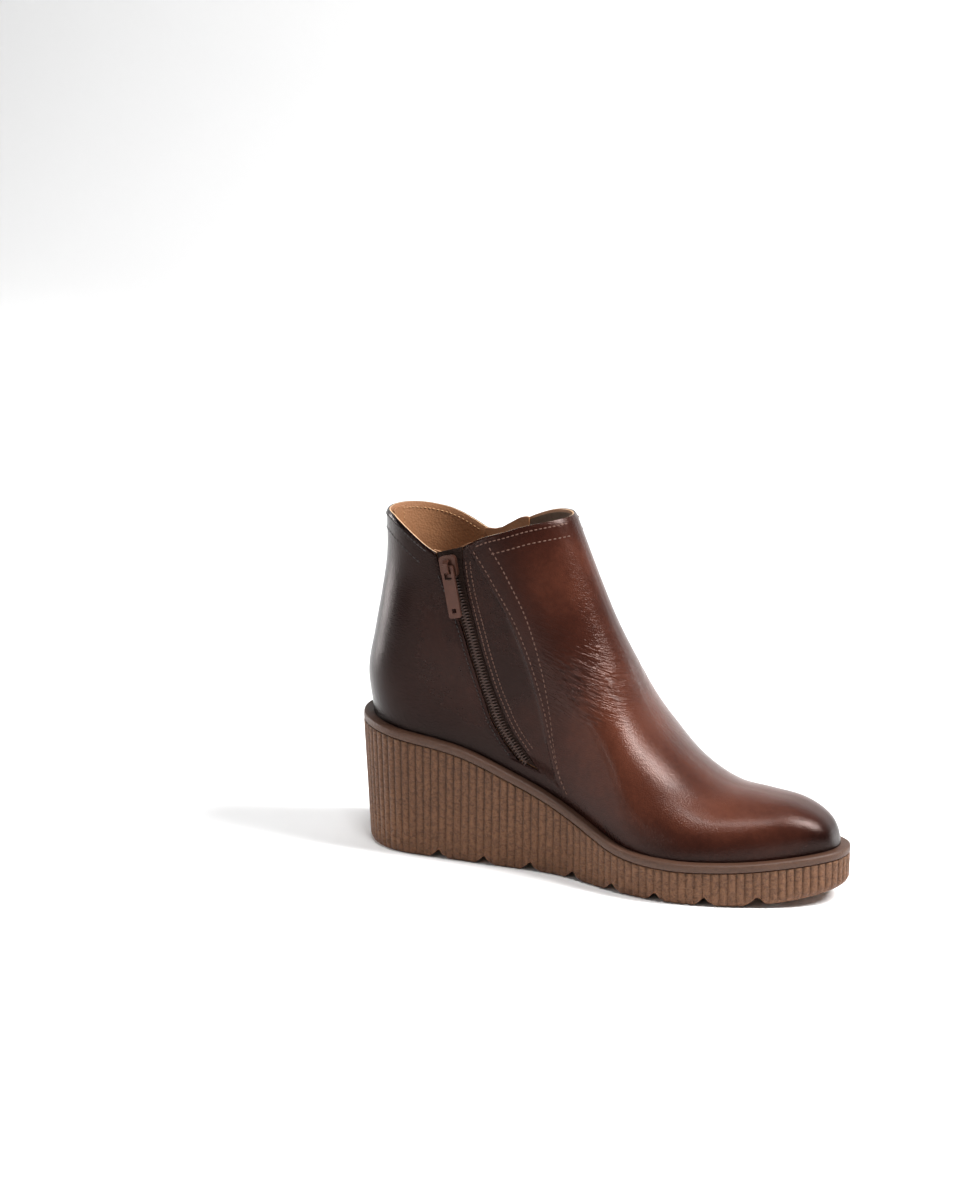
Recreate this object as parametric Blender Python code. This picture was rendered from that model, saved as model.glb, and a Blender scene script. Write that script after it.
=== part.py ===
"""Wedge ankle boot, left foot: gum wedge sole, smooth rand, leather upper and a zip on each side.

Metres, +Z up, toe along +X, outer side of the foot along +Y. The boot stands on its sole at z = 0.
"""
import math

import bmesh
import bpy
import numpy as np
from mathutils import Vector

# Sole
LENGTH = 0.262
HALF_BALL = 0.0515
HALF_HEEL = 0.037
HEEL_HEIGHT = 0.068
PLATFORM = 0.0215
HEEL_ROUND = 0.0375
TOE_ROUND = 0.114
TOE_SKEW = -0.0025
TOE_SPRING = 0.0086
BACK_TAPER = 0.0055
SIDE_TAPER = 0.0015
EDGE_BEVEL = 0.0028
RIB_PITCH = 0.0042
RIB_DEPTH = 0.0008
BAND = 0.0042
GROOVES = 8
GROOVE_FIRST = 0.0546
GROOVE_PITCH = 0.0247
GROOVE_HALF = 0.0052
GROOVE_DEPTH = 0.0045
INSOLE_THICK = 0.0026
INSOLE_FIT = 0.0016

# Upper
LEDGE = 0.005
WALL = 0.0024
PLACKET_STEP = 0.001
BACK_RISE = 0.104
FRONT_RISE = 0.141
COLLAR_HEIGHT = 0.172
SHAFT_HALF = 0.028
SHAFT_BLEND = 0.114
SLOT_BOTTOM = 0.05
SEAM_LIP = 0.0005

# Zips
GAP = 0.0003
TAPE_PAD = 0.00045
TAPE_TOP = 0.0009
TAPE_THICK = 0.001
CHAIN_HALF = 0.0029
CHAIN_PROUD = 0.0005
CHAIN_LIFT = 0.03
CHAIN_TOP = 0.985
SLIDER_SHARE = 0.925
SLIDER_LONG = 0.0112
SLIDER_WIDE = 0.0088
SLIDER_THICK = 0.0028
BRIDGE_WIDE = 0.0024
BRIDGE_LONG = 0.0074
BRIDGE_HOLE = 0.0022
BRIDGE_WALL = 0.0012
TAB_LONG = 0.026
TAB_WIDE = 0.0066
TAB_THICK = 0.0013
TAB_WINDOW = 0.0056
RING_WIDE = 0.0108
RING_CORNER = 0.0013
RING_LONG = 0.0135
RING_WIRE = 0.0014
STRAP_LONG = 0.068
STRAP_WIDE = 0.0066
STRAP_THICK = 0.0026

# Half widths of the sole's top edge: station along the sole, inner side, outer side
SOLE_ROWS = (
    (0.00, HALF_HEEL, HALF_HEEL),
    (0.14, HALF_HEEL, HALF_HEEL),
    (0.30, 0.96 * HALF_HEEL, 1.06 * HALF_HEEL),
    (0.45, 0.68 * HALF_BALL, 0.81 * HALF_BALL),
    (0.60, 0.92 * HALF_BALL, 0.98 * HALF_BALL),
    (0.70, 1.01 * HALF_BALL, 0.99 * HALF_BALL),
    (0.80, 0.98 * HALF_BALL, 0.95 * HALF_BALL),
    (1.00, 0.81 * HALF_BALL, 0.79 * HALF_BALL),
)
# Height of the sole's top: station, share of the wedge above the platform
TOP_ROWS = (
    (0.00, 1.0), (0.12, 0.92), (0.25, 0.81), (0.38, 0.545), (0.50, 0.26),
    (0.60, 0.05), (0.70, 0.0), (0.82, 0.02), (1.00, 0.135),
)
# Back of the heel: share of the back's rise, forward lean as a share of that rise
BACK_ROWS = (
    (0.0, 0.0), (0.2, -0.031), (0.4, -0.003), (0.6, 0.027), (0.8, 0.048), (1.0, 0.041),
)
# Front line of the upper from the toe up: station, share of the front's rise above the sole
RIDGE_ROWS = (
    (1.000, 0.000), (0.985, 0.075), (0.955, 0.126), (0.900, 0.171), (0.830, 0.193),
    (0.760, 0.211), (0.700, 0.262), (0.640, 0.342), (0.590, 0.427), (0.540, 0.567),
    (0.490, 0.708), (0.403, 1.000), (0.358, 1.180),
)
# How deep the rounding behind the front line goes: station, depth
ROUND_ROWS = (
    (0.00, 0.040), (0.40, 0.044), (0.50, 0.033), (0.60, 0.021), (0.70, 0.036), (1.00, 0.030),
)
# Collar edge: station, inner side and outer side as shares of the collar height at the back
COLLAR_ROWS = (
    (0.030, 1.000, 1.000), (0.070, 0.998, 0.990), (0.095, 0.982, 0.982), (0.115, 0.966, 0.975),
    (0.135, 0.948, 0.965), (0.155, 0.930, 0.953), (0.175, 0.915, 0.939), (0.200, 0.908, 0.921),
    (0.222, 0.928, 0.914), (0.245, 0.951, 0.932), (0.270, 0.972, 0.960), (0.310, 0.994, 0.992),
    (0.355, 1.018, 1.018), (0.395, 1.031, 1.031), (0.440, 1.040, 1.040),
)
# Lines up the side: height share, then zip back, zip front and seam for the inner and outer side
SEAM_ROWS = (
    (0.000, 0.412, 0.447, 0.469, 0.424, 0.459, 0.484),
    (0.065, 0.354, 0.401, 0.443, 0.374, 0.421, 0.458),
    (0.140, 0.317, 0.358, 0.427, 0.341, 0.382, 0.434),
    (0.270, 0.286, 0.318, 0.407, 0.312, 0.344, 0.404),
    (0.410, 0.262, 0.291, 0.382, 0.288, 0.317, 0.374),
    (0.580, 0.239, 0.267, 0.345, 0.264, 0.292, 0.344),
    (0.780, 0.211, 0.244, 0.291, 0.236, 0.269, 0.310),
    (0.930, 0.187, 0.234, 0.254, 0.211, 0.258, 0.283),
    (1.000, 0.178, 0.233, 0.240, 0.202, 0.256, 0.264),
)
# Groove across the underside: share of its half width, share of its depth
GROOVE_ROWS = (
    (-1.50, -0.25), (-0.78, 0.26), (-0.44, 0.54), (-0.14, 1.00),
    (0.14, 1.00), (0.44, 0.54), (0.78, 0.26), (1.50, -0.25),
)
INNER, OUTER = -1, 1
BACK_CELLS = 12
FRONT_CELLS = 15
HEIGHT_CELLS = 20

GUM = ("gum", (0.20, 0.115, 0.06), 0.75, 0.0)
RAND = ("rand", (0.24, 0.14, 0.075), 0.6, 0.0)
LEATHER = ("leather", (0.09, 0.03, 0.018), 0.32, 0.0)
LINING = ("lining", (0.36, 0.20, 0.10), 0.6, 0.0)
TAPE = ("zip_tape", (0.02, 0.016, 0.014), 0.8, 0.0)
COIL = ("zip_coil", (0.03, 0.024, 0.02), 0.45, 0.0)
BROWN = ("painted_metal", (0.12, 0.06, 0.04), 0.4, 0.6)
GOLD = ("copper_metal", (0.62, 0.34, 0.20), 0.3, 1.0)
SILVER = ("ring_metal", (0.7, 0.68, 0.65), 0.25, 1.0)
TEETH = ("teeth_metal", (0.5, 0.45, 0.38), 0.35, 1.0)


def smooth(rows, at, column=1):
    """Smooth curve through one column of a table, read at the given stations."""
    stations = np.array([row[0] for row in rows], float)
    values = np.array([row[column] for row in rows], float)
    if stations[0] > stations[-1]:
        stations, values = stations[::-1], values[::-1]
    step = np.diff(stations)
    slope = np.diff(values) / step
    tangent = np.empty(len(stations))
    tangent[1:-1] = (slope[:-1] * step[1:] + slope[1:] * step[:-1]) / (step[1:] + step[:-1])
    tangent[0], tangent[-1] = slope[0], slope[-1]
    t = np.clip(at, stations[0], stations[-1])
    i = np.clip(np.searchsorted(stations, t, side="right") - 1, 0, len(step) - 1)
    u = (t - stations[i]) / step[i]
    start = (1 + 2 * u) * (1 - u) ** 2 * values[i] + u * (1 - u) ** 2 * step[i] * tangent[i]
    end = u * u * (3 - 2 * u) * values[i + 1] + u * u * (u - 1) * step[i] * tangent[i + 1]
    return start + end


def ease(t):
    """0 to 1 with soft ends."""
    t = np.clip(t, 0, 1)
    return t * t * (3 - 2 * t)


def quarter(t, power=2.0):
    """Rounded rise from 0 at t = 0 to 1 at t = 1."""
    return np.maximum(1 - (1 - np.clip(t, 0, 1)) ** power, 0) ** (1 / power)


def skew(x):
    """Sideways drift of the middle line towards the big toe."""
    return TOE_SKEW * np.clip((x / LENGTH - 0.6) / 0.4, 0, 1) ** 2


def sole_top(x):
    """Height of the top of the sole."""
    return PLATFORM + (HEEL_HEIGHT - PLATFORM) * smooth(TOP_ROWS, x / LENGTH)


def sole_half(side, x):
    """Half width of the sole's top edge on one side."""
    wide = smooth(SOLE_ROWS, x / LENGTH, 1 if side == INNER else 2)
    return wide * quarter(x / HEEL_ROUND, 2.1) * quarter((LENGTH - x) / TOE_ROUND, 2.2)


def inset_line(side, inset, count=160):
    """The sole's edge on one side moved inwards: x stations and half widths, heel to toe."""
    turn = np.linspace(0, math.pi, count)
    x = LENGTH * (1 - np.cos(turn)) / 2
    y = sole_half(side, x)
    dx, dy = np.gradient(x), np.gradient(y)
    size = np.hypot(dx, dy)
    x_in, y_in = x + inset * dy / size, y - inset * dx / size
    x_in[0], x_in[-1], y_in[0], y_in[-1] = inset, LENGTH - inset, 0, 0
    return x_in, np.maximum(y_in, 0)


def collar(side, x):
    """Height of the collar edge above the floor."""
    return COLLAR_HEIGHT * smooth(COLLAR_ROWS, x / LENGTH, 1 if side == INNER else 2)


def back_x(z):
    """Back of the upper at a height."""
    return LEDGE + BACK_RISE * smooth(BACK_ROWS, (z - HEEL_HEIGHT) / BACK_RISE)


def ridge_line(count=600):
    """Front line of the upper from the toe up past the collar, with its inward normals."""
    row = np.linspace(0, len(RIDGE_ROWS) - 1, count)
    along = [(k, r[0]) for k, r in enumerate(RIDGE_ROWS)]
    rise = [(k, r[1]) for k, r in enumerate(RIDGE_ROWS)]
    x = LEDGE + (LENGTH - 2 * LEDGE) * smooth(along, row)
    z = sole_top(x) + FRONT_RISE * smooth(rise, row)
    dx, dz = np.gradient(x), np.gradient(z)
    size = np.hypot(dx, dz)
    return x, z, -dz / size, dx / size


RIDGE = ridge_line()
FEATHER = {side: inset_line(side, LEDGE) for side in (INNER, OUTER)}


def front_round(x, z):
    """How far the upper has closed towards its front line: 0 on the line, 1 well behind it."""
    rx, rz, nx, nz = RIDGE
    near = ((x[..., None] - rx) ** 2 + (z[..., None] - rz) ** 2).argmin(-1)
    away = np.abs((x - rx[near]) * nx[near] + (z - rz[near]) * nz[near])
    shaft = quarter(away / smooth(ROUND_ROWS, rx[near] / LENGTH))
    low = sole_top(x)
    top = np.interp(x, rx[::-1], rz[::-1])
    share = np.clip((z - low) / np.maximum(top - low, 1e-6), 0, 1)
    box = 0.7 * ease((x / LENGTH - 0.75) / 0.25)
    vamp = np.maximum(1 - share ** (2.3 + box), 0) ** (1 / (2 + box))
    return shaft + (vamp - shaft) * ease((x / LENGTH - 0.58) / 0.2)


def half_width(side, x, z):
    """Half width of the upper at a point of its side view."""
    back = (back_x(z) - LEDGE) * ease(1 - (x / LENGTH - 0.2) / 0.3)
    station = x - back
    foot = np.interp(station, *FEATHER[side])
    shaft = SHAFT_HALF * quarter((station - LEDGE) / (HEEL_ROUND - LEDGE), 2.1)
    share = ease((z - sole_top(x)) / SHAFT_BLEND) * ease((0.72 - x / LENGTH) / 0.25)
    return (foot + (shaft - foot) * share) * front_round(x, z)


def seam_line(side, which, share):
    """Side view of a line up the side (0 zip back, 1 zip front, 2 seam) at height shares."""
    x = LENGTH * smooth(SEAM_ROWS, share, 1 + which + (0 if side == INNER else 3))
    low = sole_top(x)
    return x, low + share * (collar(side, x) - low)


def back_line(share):
    """Stations of the back line at height shares."""
    x = np.full(len(share), LEDGE)
    for _ in range(3):
        low = sole_top(x)
        x = back_x(low + (COLLAR_HEIGHT - low) * share)
    return x


def front_line(side, share):
    """Stations of the front line from the toe tip to the collar, at shares of its length."""
    x, z = RIDGE[0], RIDGE[1]
    stop = int(np.argmax(z > collar(side, x))) + 1
    run = np.concatenate([[0], np.cumsum(np.hypot(np.diff(x[:stop]), np.diff(z[:stop])))])
    return np.interp(share * run[-1], run, x[:stop])


def height_shares(rows=HEIGHT_CELLS):
    """Height shares of the grid's rows, closer together near the sole."""
    return np.linspace(0, 1, rows + 1) ** 1.25


def side_top(side, x):
    """Height of the upper's side view: the collar, and in front of it the front line."""
    rx, rz = RIDGE[0], RIDGE[1]
    return np.minimum(collar(side, x), np.interp(x, rx[::-1], rz[::-1]))


def fill(side, start, end, part, share, fan):
    """Side view between two lines: rows run from the feather edge up to the collar.

    With fan set, each row also climbs to the front line as it goes forward.
    """
    row = share[:, None]
    x = start[:, None] + (end - start)[:, None] * part
    low = sole_top(x)
    level = low + row * (side_top(side, x) - low)
    if not fan:
        return x, level
    tip = (np.interp(end, RIDGE[0][::-1], RIDGE[1][::-1]) - sole_top(end))[:, None]
    foot = (level - low)[:, :1]
    rise = foot + (tip - foot) * part
    rise += row * ((level - low)[-1:] - rise[-1:])
    limit = (side_top(side, x) - low) * (1 - 0.25 * (1 - part) * (1 - row))
    return x, low + np.minimum(rise, limit)


def side_grid(side, rows=HEIGHT_CELLS, back=BACK_CELLS, front=FRONT_CELLS):
    """Side view grid from back line to front line, and the column of each line."""
    share = height_shares(rows)
    lines = [back_line(share)] + [seam_line(side, k, share)[0] for k in range(3)]
    lines.append(front_line(side, share))
    lip = 1 - SEAM_LIP / 0.012
    parts = [
        np.linspace(0, 1, back + 1)[:-1] ** 1.5,
        np.array([0.0]),
        np.array([0.0, 0.5, lip]),
        1 - (1 - np.linspace(0, 1, front + 1)) ** 1.6,
    ]
    blocks = [fill(side, lines[k], lines[k + 1], parts[k], share, k == 3) for k in range(4)]
    x = np.concatenate([b[0] for b in blocks], 1)
    z = np.concatenate([b[1] for b in blocks], 1)
    return x, z, back, back + 1


def normals_of(points):
    """Unit normals of a grid of points that closes on itself along its second axis."""
    up = np.gradient(points, axis=0)
    wrapped = np.concatenate([points[:, -1:], points, points[:, :1]], 1)
    around = (wrapped[:, 2:] - wrapped[:, :-2]) / 2
    normal = np.cross(around, up)
    return normal / np.linalg.norm(normal, axis=2, keepdims=True)


Y_MIDDLE = 0.0


def place(x, y, z):
    """World position: the origin is under the middle of the boot's box."""
    return np.stack([x - LENGTH / 2, y - Y_MIDDLE, z], -1)


def settle_middle():
    """Middle of the sole's width, from its own outline."""
    x = np.linspace(0, LENGTH, 400)
    inner = (skew(x) - sole_half(INNER, x)).min()
    outer = (skew(x) + sole_half(OUTER, x)).max()
    return (inner + outer) / 2


def surface(side, x, z):
    """World point on the upper's outside at a point of its side view."""
    return place(x, side * half_width(side, x, z) + skew(x), z + GAP)


def paint(obj, look):
    name, colour, rough, metal = look
    mat = bpy.data.materials.get(name) or bpy.data.materials.new(name)
    mat.use_nodes = True
    shader = mat.node_tree.nodes["Principled BSDF"]
    shader.inputs["Base Color"].default_value = (*colour, 1)
    shader.inputs["Roughness"].default_value = rough
    shader.inputs["Metallic"].default_value = metal
    obj.data.materials.append(mat)


def solid(name, verts, faces, look, origin=(0, 0, 0), soft=True):
    """One object from points and faces, its faces turned outwards."""
    centre = Vector([float(v) for v in origin])
    mesh = bpy.data.meshes.new(name)
    mesh.from_pydata([Vector([float(c) for c in v]) - centre for v in verts], [], faces)
    bm = bmesh.new()
    bm.from_mesh(mesh)
    bmesh.ops.recalc_face_normals(bm, faces=bm.faces)
    bm.to_mesh(mesh)
    bm.free()
    obj = bpy.data.objects.new(name, mesh)
    obj.location = centre
    bpy.context.collection.objects.link(obj)
    paint(obj, look)
    if soft:
        mesh.shade_smooth()
        mesh.set_sharp_from_angle(angle=math.radians(40))
    return obj


def shell(name, outer, inner, keep, closed, look):
    """A wall between two grids of points; cells whose keep is false are left open."""
    rows, cols = outer.shape[:2]
    cells = cols if closed else cols - 1
    back = rows * cols
    faces = []
    here = lambda r, c: r * cols + c % cols
    inside = lambda r, c: 0 <= r < rows - 1 and (closed or 0 <= c < cells) and keep[r][c % cells]
    for r in range(rows - 1):
        for c in range(cells):
            if not keep[r][c]:
                continue
            a, b, d, e = here(r, c), here(r, c + 1), here(r + 1, c + 1), here(r + 1, c)
            faces += [(a, b, d, e), (e + back, d + back, b + back, a + back)]
            if not inside(r - 1, c):
                faces.append((b, a, a + back, b + back))
            if not inside(r + 1, c):
                faces.append((e, d, d + back, e + back))
            if not inside(r, c - 1):
                faces.append((a, e, e + back, a + back))
            if not inside(r, c + 1):
                faces.append((d, b, b + back, d + back))
    verts = np.concatenate([outer.reshape(-1, 3), inner.reshape(-1, 3)])
    used = sorted({v for f in faces for v in f})
    new = {v: k for k, v in enumerate(used)}
    return solid(name, verts[used], [tuple(new[v] for v in f) for f in faces], look)


def build_upper():
    """The leather upper: one wall with a slot for each zip and a lower placket step."""
    grids = {side: side_grid(side) for side in (INNER, OUTER)}
    xi, zi, back, slot = grids[INNER]
    xo, zo = grids[OUTER][:2]
    last = xi.shape[1] - 1
    share = height_shares()
    points = np.concatenate([surface(INNER, xi, zi), surface(OUTER, xo, zo)[:, -2:0:-1]], 1)
    normal = normals_of(points)
    outer = points.copy()
    step = ease((share - SLOT_BOTTOM) / SLOT_BOTTOM)[:, None, None] * PLACKET_STEP
    placket = slice(slot, slot + 3)
    outer[:, placket] -= normal[:, placket] * step
    inner = points - normal * WALL
    inner[0, :, 2] = sole_top(inner[0, :, 0] + LENGTH / 2) + GAP
    outer[0, :, 2] = sole_top(outer[0, :, 0] + LENGTH / 2) + GAP
    cols = points.shape[1]
    open_row = int(np.argmax(share >= SLOT_BOTTOM))
    keep = np.ones((HEIGHT_CELLS, cols), bool)
    keep[open_row:, back] = False
    keep[open_row:, cols - 1 - back] = False
    assert last * 2 == cols
    return shell("upper", outer, inner, keep, True, LEATHER)


def plate_rows(inset_of, height_of, stations):
    """World points around a sole level: inner edge heel to toe, then outer edge toe to heel."""
    x_in, y_in = stations[INNER]
    x_out, y_out = stations[OUTER]
    x = np.concatenate([x_in, x_out[-2:0:-1]])
    y = np.concatenate([-y_in, y_out[-2:0:-1]])
    x, y = inset_of(x, y)
    return place(x, y + skew(x), height_of(x))


def stack_plate(name, levels, look):
    """A solid between stacked rings of points, capped across from side to side."""
    count = len(levels[0])
    half = count // 2
    faces = []
    for k in range(len(levels) - 1):
        for i in range(count):
            j = (i + 1) % count
            faces.append((k * count + i, k * count + j, (k + 1) * count + j, (k + 1) * count + i))
    for base, turn in ((0, 1), ((len(levels) - 1) * count, -1)):
        for i in range(half):
            ring = [i, i + 1, count - i - 1, (count - i) % count]
            ring = [base + v for k, v in enumerate(ring) if v not in ring[:k]]
            faces.append(tuple(ring[::turn]))
    return solid(name, np.concatenate(levels), faces, look)


def edge_stations(inset, count):
    """Edge points of both sides at matching steps from heel to toe."""
    out = {}
    for side in (INNER, OUTER):
        x, y = inset_line(side, inset, 300) if inset else inset_line(side, 0.0, 300)
        run = np.concatenate([[0], np.cumsum(np.hypot(np.diff(x), np.diff(y)))])
        at = np.linspace(0, run[-1], count)
        out[side] = (np.interp(at, run, x), np.interp(at, run, y))
    return out


def build_midsole():
    """The smooth rand plate."""
    stations = edge_stations(0.0, 80)
    same = lambda x, y: (x, y)
    levels = [
        plate_rows(same, lambda x: sole_top(x) - BAND, stations),
        plate_rows(same, lambda x: sole_top(x), stations),
    ]
    return stack_plate("midsole", levels, RAND)


def build_insole():
    """The sock on top of the sole, inside the upper."""
    stations = edge_stations(LEDGE + WALL + INSOLE_FIT, 40)
    same = lambda x, y: (x, y)
    levels = [
        plate_rows(same, lambda x: sole_top(x) + GAP, stations),
        plate_rows(same, lambda x: sole_top(x) + GAP + INSOLE_THICK, stations),
    ]
    return stack_plate("insole", levels, LINING)


def rib_stations():
    """Ribbed edge of the wedge: a narrow groove and a flat ridge in each pitch."""
    out = {}
    outline = {side: inset_line(side, 0.0, 400) for side in (INNER, OUTER)}
    runs = {}
    for side, (x, y) in outline.items():
        runs[side] = np.concatenate([[0], np.cumsum(np.hypot(np.diff(x), np.diff(y)))])
    ribs = int(round((runs[INNER][-1] + runs[OUTER][-1]) / 2 / RIB_PITCH))
    share = np.concatenate([[0.0], *[(k + np.array([0.28, 0.72, 1.0])) / ribs for k in range(ribs)]])
    deep = np.concatenate([[1.0], *[np.array([0.0, 0.0, 1.0]) for _ in range(ribs)]]) * RIB_DEPTH
    for side, (x, y) in outline.items():
        at = share * runs[side][-1]
        dx, dy = np.gradient(x), np.gradient(y)
        size = np.hypot(dx, dy)
        px, py = np.interp(at, runs[side], x), np.interp(at, runs[side], y)
        nx, ny = np.interp(at, runs[side], dy / size), np.interp(at, runs[side], -dx / size)
        nx[0], ny[0], nx[-1], ny[-1] = 1, 0, -1, 0
        out[side] = (px + nx * deep, np.maximum(py + ny * deep, 0))
        out[side][1][0] = out[side][1][-1] = 0
    return out


def bottom_lift(x):
    """Toe spring of the sole's underside."""
    return TOE_SPRING * np.clip((x / LENGTH - 0.78) / 0.22, 0, 1) ** 2


def build_outsole():
    """The ribbed wedge, drawn in towards the floor, with grooves across its underside."""
    stations = rib_stations()

    def drawn_in(depth, bevel=0.0):
        def move(x, y):
            back = np.clip(1 - x / (0.3 * LENGTH), 0, 1) ** 2
            middle = (x / LENGTH - 0.5) * 2
            x_new = x + BACK_TAPER * back * depth - bevel * np.sign(middle) * np.abs(middle) ** 6
            drawn = SIDE_TAPER * depth + 0.8 * bevel
            y_new = y * (1 - drawn / np.maximum(np.abs(y), HALF_HEEL))
            return x_new, y_new
        return move

    levels = [
        plate_rows(drawn_in(1.0, EDGE_BEVEL), bottom_lift, stations),
        plate_rows(drawn_in(0.97), lambda x: bottom_lift(x) + EDGE_BEVEL, stations),
        plate_rows(drawn_in(0.0), lambda x: sole_top(x) - BAND - GAP, stations),
    ]
    body = stack_plate("outsole", levels, GUM)
    reach = HALF_BALL * 1.4
    for k in range(GROOVES):
        middle = GROOVE_FIRST + GROOVE_PITCH * k
        base = float(bottom_lift(np.array(middle)))
        ring = [(middle + GROOVE_HALF * u, base + GROOVE_DEPTH * h) for u, h in GROOVE_ROWS]
        count = len(ring)
        verts = [place(x, y, z) for y in (-reach, reach) for x, z in ring]
        faces = [(i, (i + 1) % count, count + (i + 1) % count, count + i) for i in range(count)]
        faces += [tuple(range(count))[::-1], tuple(range(count, 2 * count))]
        cutter = solid("groove_%d" % k, verts, faces, GUM, soft=False)
        cut(body, cutter, "DIFFERENCE")
    body.data.set_sharp_from_angle(angle=math.radians(30))
    return body


def cut(body, other, kind):
    """Join or cut one solid with another, then drop the other."""
    mod = body.modifiers.new("cut", "BOOLEAN")
    mod.operation = kind
    mod.solver = "EXACT"
    mod.object = other
    bpy.context.view_layer.update()
    graph = bpy.context.evaluated_depsgraph_get()
    mesh = bpy.data.meshes.new_from_object(body.evaluated_get(graph))
    body.modifiers.clear()
    old = body.data
    body.data = mesh
    bpy.data.meshes.remove(old)
    bpy.data.objects.remove(other)


def zip_rows(lift, top, count=18):
    """Height shares along a zip, from a little above the slot's bottom."""
    share = height_shares()
    low = share[int(np.argmax(share >= SLOT_BOTTOM))]
    return np.linspace(low + lift, top, count)


def zip_middle(side, share):
    """Side view of a zip's middle line and its unit direction."""
    xa, za = seam_line(side, 0, share)
    xb, zb = seam_line(side, 1, share)
    x, z = (xa + xb) / 2, (za + zb) / 2
    dx, dz = np.gradient(x), np.gradient(z)
    size = np.hypot(dx, dz)
    return x, z, dx / size, dz / size


def ribbon(name, side, x, z, deep, thick, look):
    """A strip that follows the upper's surface at a depth below it."""
    rise = 1e-3
    here = surface(side, x, z)
    fore = surface(side, x + rise, z) - here
    up = surface(side, x, z + rise) - here
    normal = np.cross(fore, up)
    normal *= -side / np.linalg.norm(normal, axis=-1, keepdims=True)
    keep = np.ones((x.shape[0] - 1, x.shape[1] - 1), bool)
    return shell(name, here - normal * deep, here - normal * (deep + thick), keep, False, look)


def build_tape(name, side):
    share = zip_rows(0.008, 1.0)
    xa, za = seam_line(side, 0, share)
    xb, zb = seam_line(side, 1, share)
    part = np.array([0.0, 0.5, 1.0])
    lean = np.maximum(np.abs(zip_middle(side, share)[3]), 0.5)
    start, end = xa + TAPE_PAD / lean, xb - TAPE_PAD / lean
    x = start[:, None] + (end - start)[:, None] * part
    z = za[:, None] + (zb - za)[:, None] * part
    return ribbon(name, side, x, z, TAPE_TOP, TAPE_THICK, TAPE)


def build_chain(name, side, look):
    share = zip_rows(CHAIN_LIFT, CHAIN_TOP, 20)
    x, z, dx, dz = zip_middle(side, share)
    across = np.array([-1.0, 0.0, 1.0]) * CHAIN_HALF
    xs = x[:, None] + dz[:, None] * across
    zs = z[:, None] - dx[:, None] * across
    thick = TAPE_TOP - GAP + CHAIN_PROUD
    return ribbon(name, side, xs, zs, -CHAIN_PROUD, thick, look)


def zip_frame(side, upright):
    """Slider seat: its point, the way up, the way across and the way out of the boot."""
    share = np.array([SLIDER_SHARE - 0.02, SLIDER_SHARE, SLIDER_SHARE + 0.02])
    x, z = zip_middle(side, share)[:2]
    line = surface(side, x, z)
    at = line[1]
    up = np.array([0.0, 0.0, 1.0]) if upright else line[2] - line[0]
    fore = surface(side, x[1:2] + 1e-3, z[1:2])[0] - at
    out = np.cross(fore, line[2] - line[0]) * -side
    out /= np.linalg.norm(out)
    up = up - out * up.dot(out)
    up /= np.linalg.norm(up)
    return at, up, np.cross(up, out), out


def prism(name, frame, ring, axis, start, end, look, origin=(0, 0, 0), soft=False):
    """A flat outline in two of the frame's directions, carried along the third."""
    at, up, across, out = frame
    plane = {"across": (up, out, across), "out": (up, across, out), "up": (across, out, up)}[axis]
    one, two, way = plane
    count = len(ring)
    verts = [at + one * a + two * b + way * w for w in (start, end) for a, b in ring]
    faces = [(i, (i + 1) % count, count + (i + 1) % count, count + i) for i in range(count)]
    faces += [tuple(range(count))[::-1], tuple(range(count, 2 * count))]
    return solid(name, verts, faces, look, origin, soft)


def rounded(long_low, long_high, half, radius, steps=4):
    """Outline of a rectangle with round corners, its length first."""
    ring = []
    corners = ((long_high - radius, half - radius, 0), (long_low + radius, half - radius, 90),
               (long_low + radius, -half + radius, 180), (long_high - radius, -half + radius, 270))
    for a, b, start in corners:
        for k in range(steps + 1):
            turn = math.radians(start + 90 * k / steps)
            ring.append((a + radius * math.cos(turn), b + radius * math.sin(turn)))
    return ring


def build_slider(name, side, frame, look):
    """Slider body over the chain with its bridge."""
    low = CHAIN_PROUD + GAP
    top = low + SLIDER_THICK
    body = prism(name, frame, rounded(-SLIDER_LONG / 2, SLIDER_LONG / 2, SLIDER_WIDE / 2, 0.0022),
                 "out", low, top, look)
    reach, wall, hole = BRIDGE_LONG / 2, BRIDGE_WALL, BRIDGE_HOLE
    sink = 0.0008
    arch = [(-reach, top - sink), (-reach, top + hole * 0.7), (-reach * 0.6, top + hole + wall),
            (reach * 0.6, top + hole + wall), (reach, top + hole * 0.7), (reach, top - sink),
            (reach - wall, top - sink), (reach - wall, top + hole * 0.55),
            (reach * 0.5, top + hole), (-reach * 0.5, top + hole),
            (-reach + wall, top + hole * 0.55), (-reach + wall, top - sink)]
    bridge = prism(name + "_bridge", frame, arch, "across", -BRIDGE_WIDE / 2, BRIDGE_WIDE / 2, look)
    cut(body, bridge, "UNION")
    return body


def pivot_of(frame):
    """Middle of the bridge's hole."""
    at, up, across, out = frame
    return at + out * (CHAIN_PROUD + GAP + SLIDER_THICK + BRIDGE_HOLE / 2)


def build_tab(name, frame, look):
    """Flat pull tab: a bar in the bridge's hole, a window for the bridge and a small square hole."""
    pivot = pivot_of(frame)
    local = (pivot,) + frame[1:]
    bar = TAB_THICK * 0.55
    ring = rounded(-TAB_LONG, bar, TAB_WIDE / 2, 0.0012)
    tab = prism(name, local, ring, "out", -TAB_THICK / 2, TAB_THICK / 2, look, origin=pivot)
    window = rounded(-bar - TAB_WINDOW, -bar, BRIDGE_WIDE / 2 + 0.0007, 0.0006)
    eye = rounded(-TAB_LONG + 0.0025, -TAB_LONG + 0.0048, 0.00115, 0.0002, 1)
    for k, outline in enumerate((window, eye)):
        cutter = prism("tab_cut_%d" % k, local, outline, "out", -TAB_THICK, TAB_THICK, look,
                       origin=pivot)
        cut(tab, cutter, "DIFFERENCE")
    return tab


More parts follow.
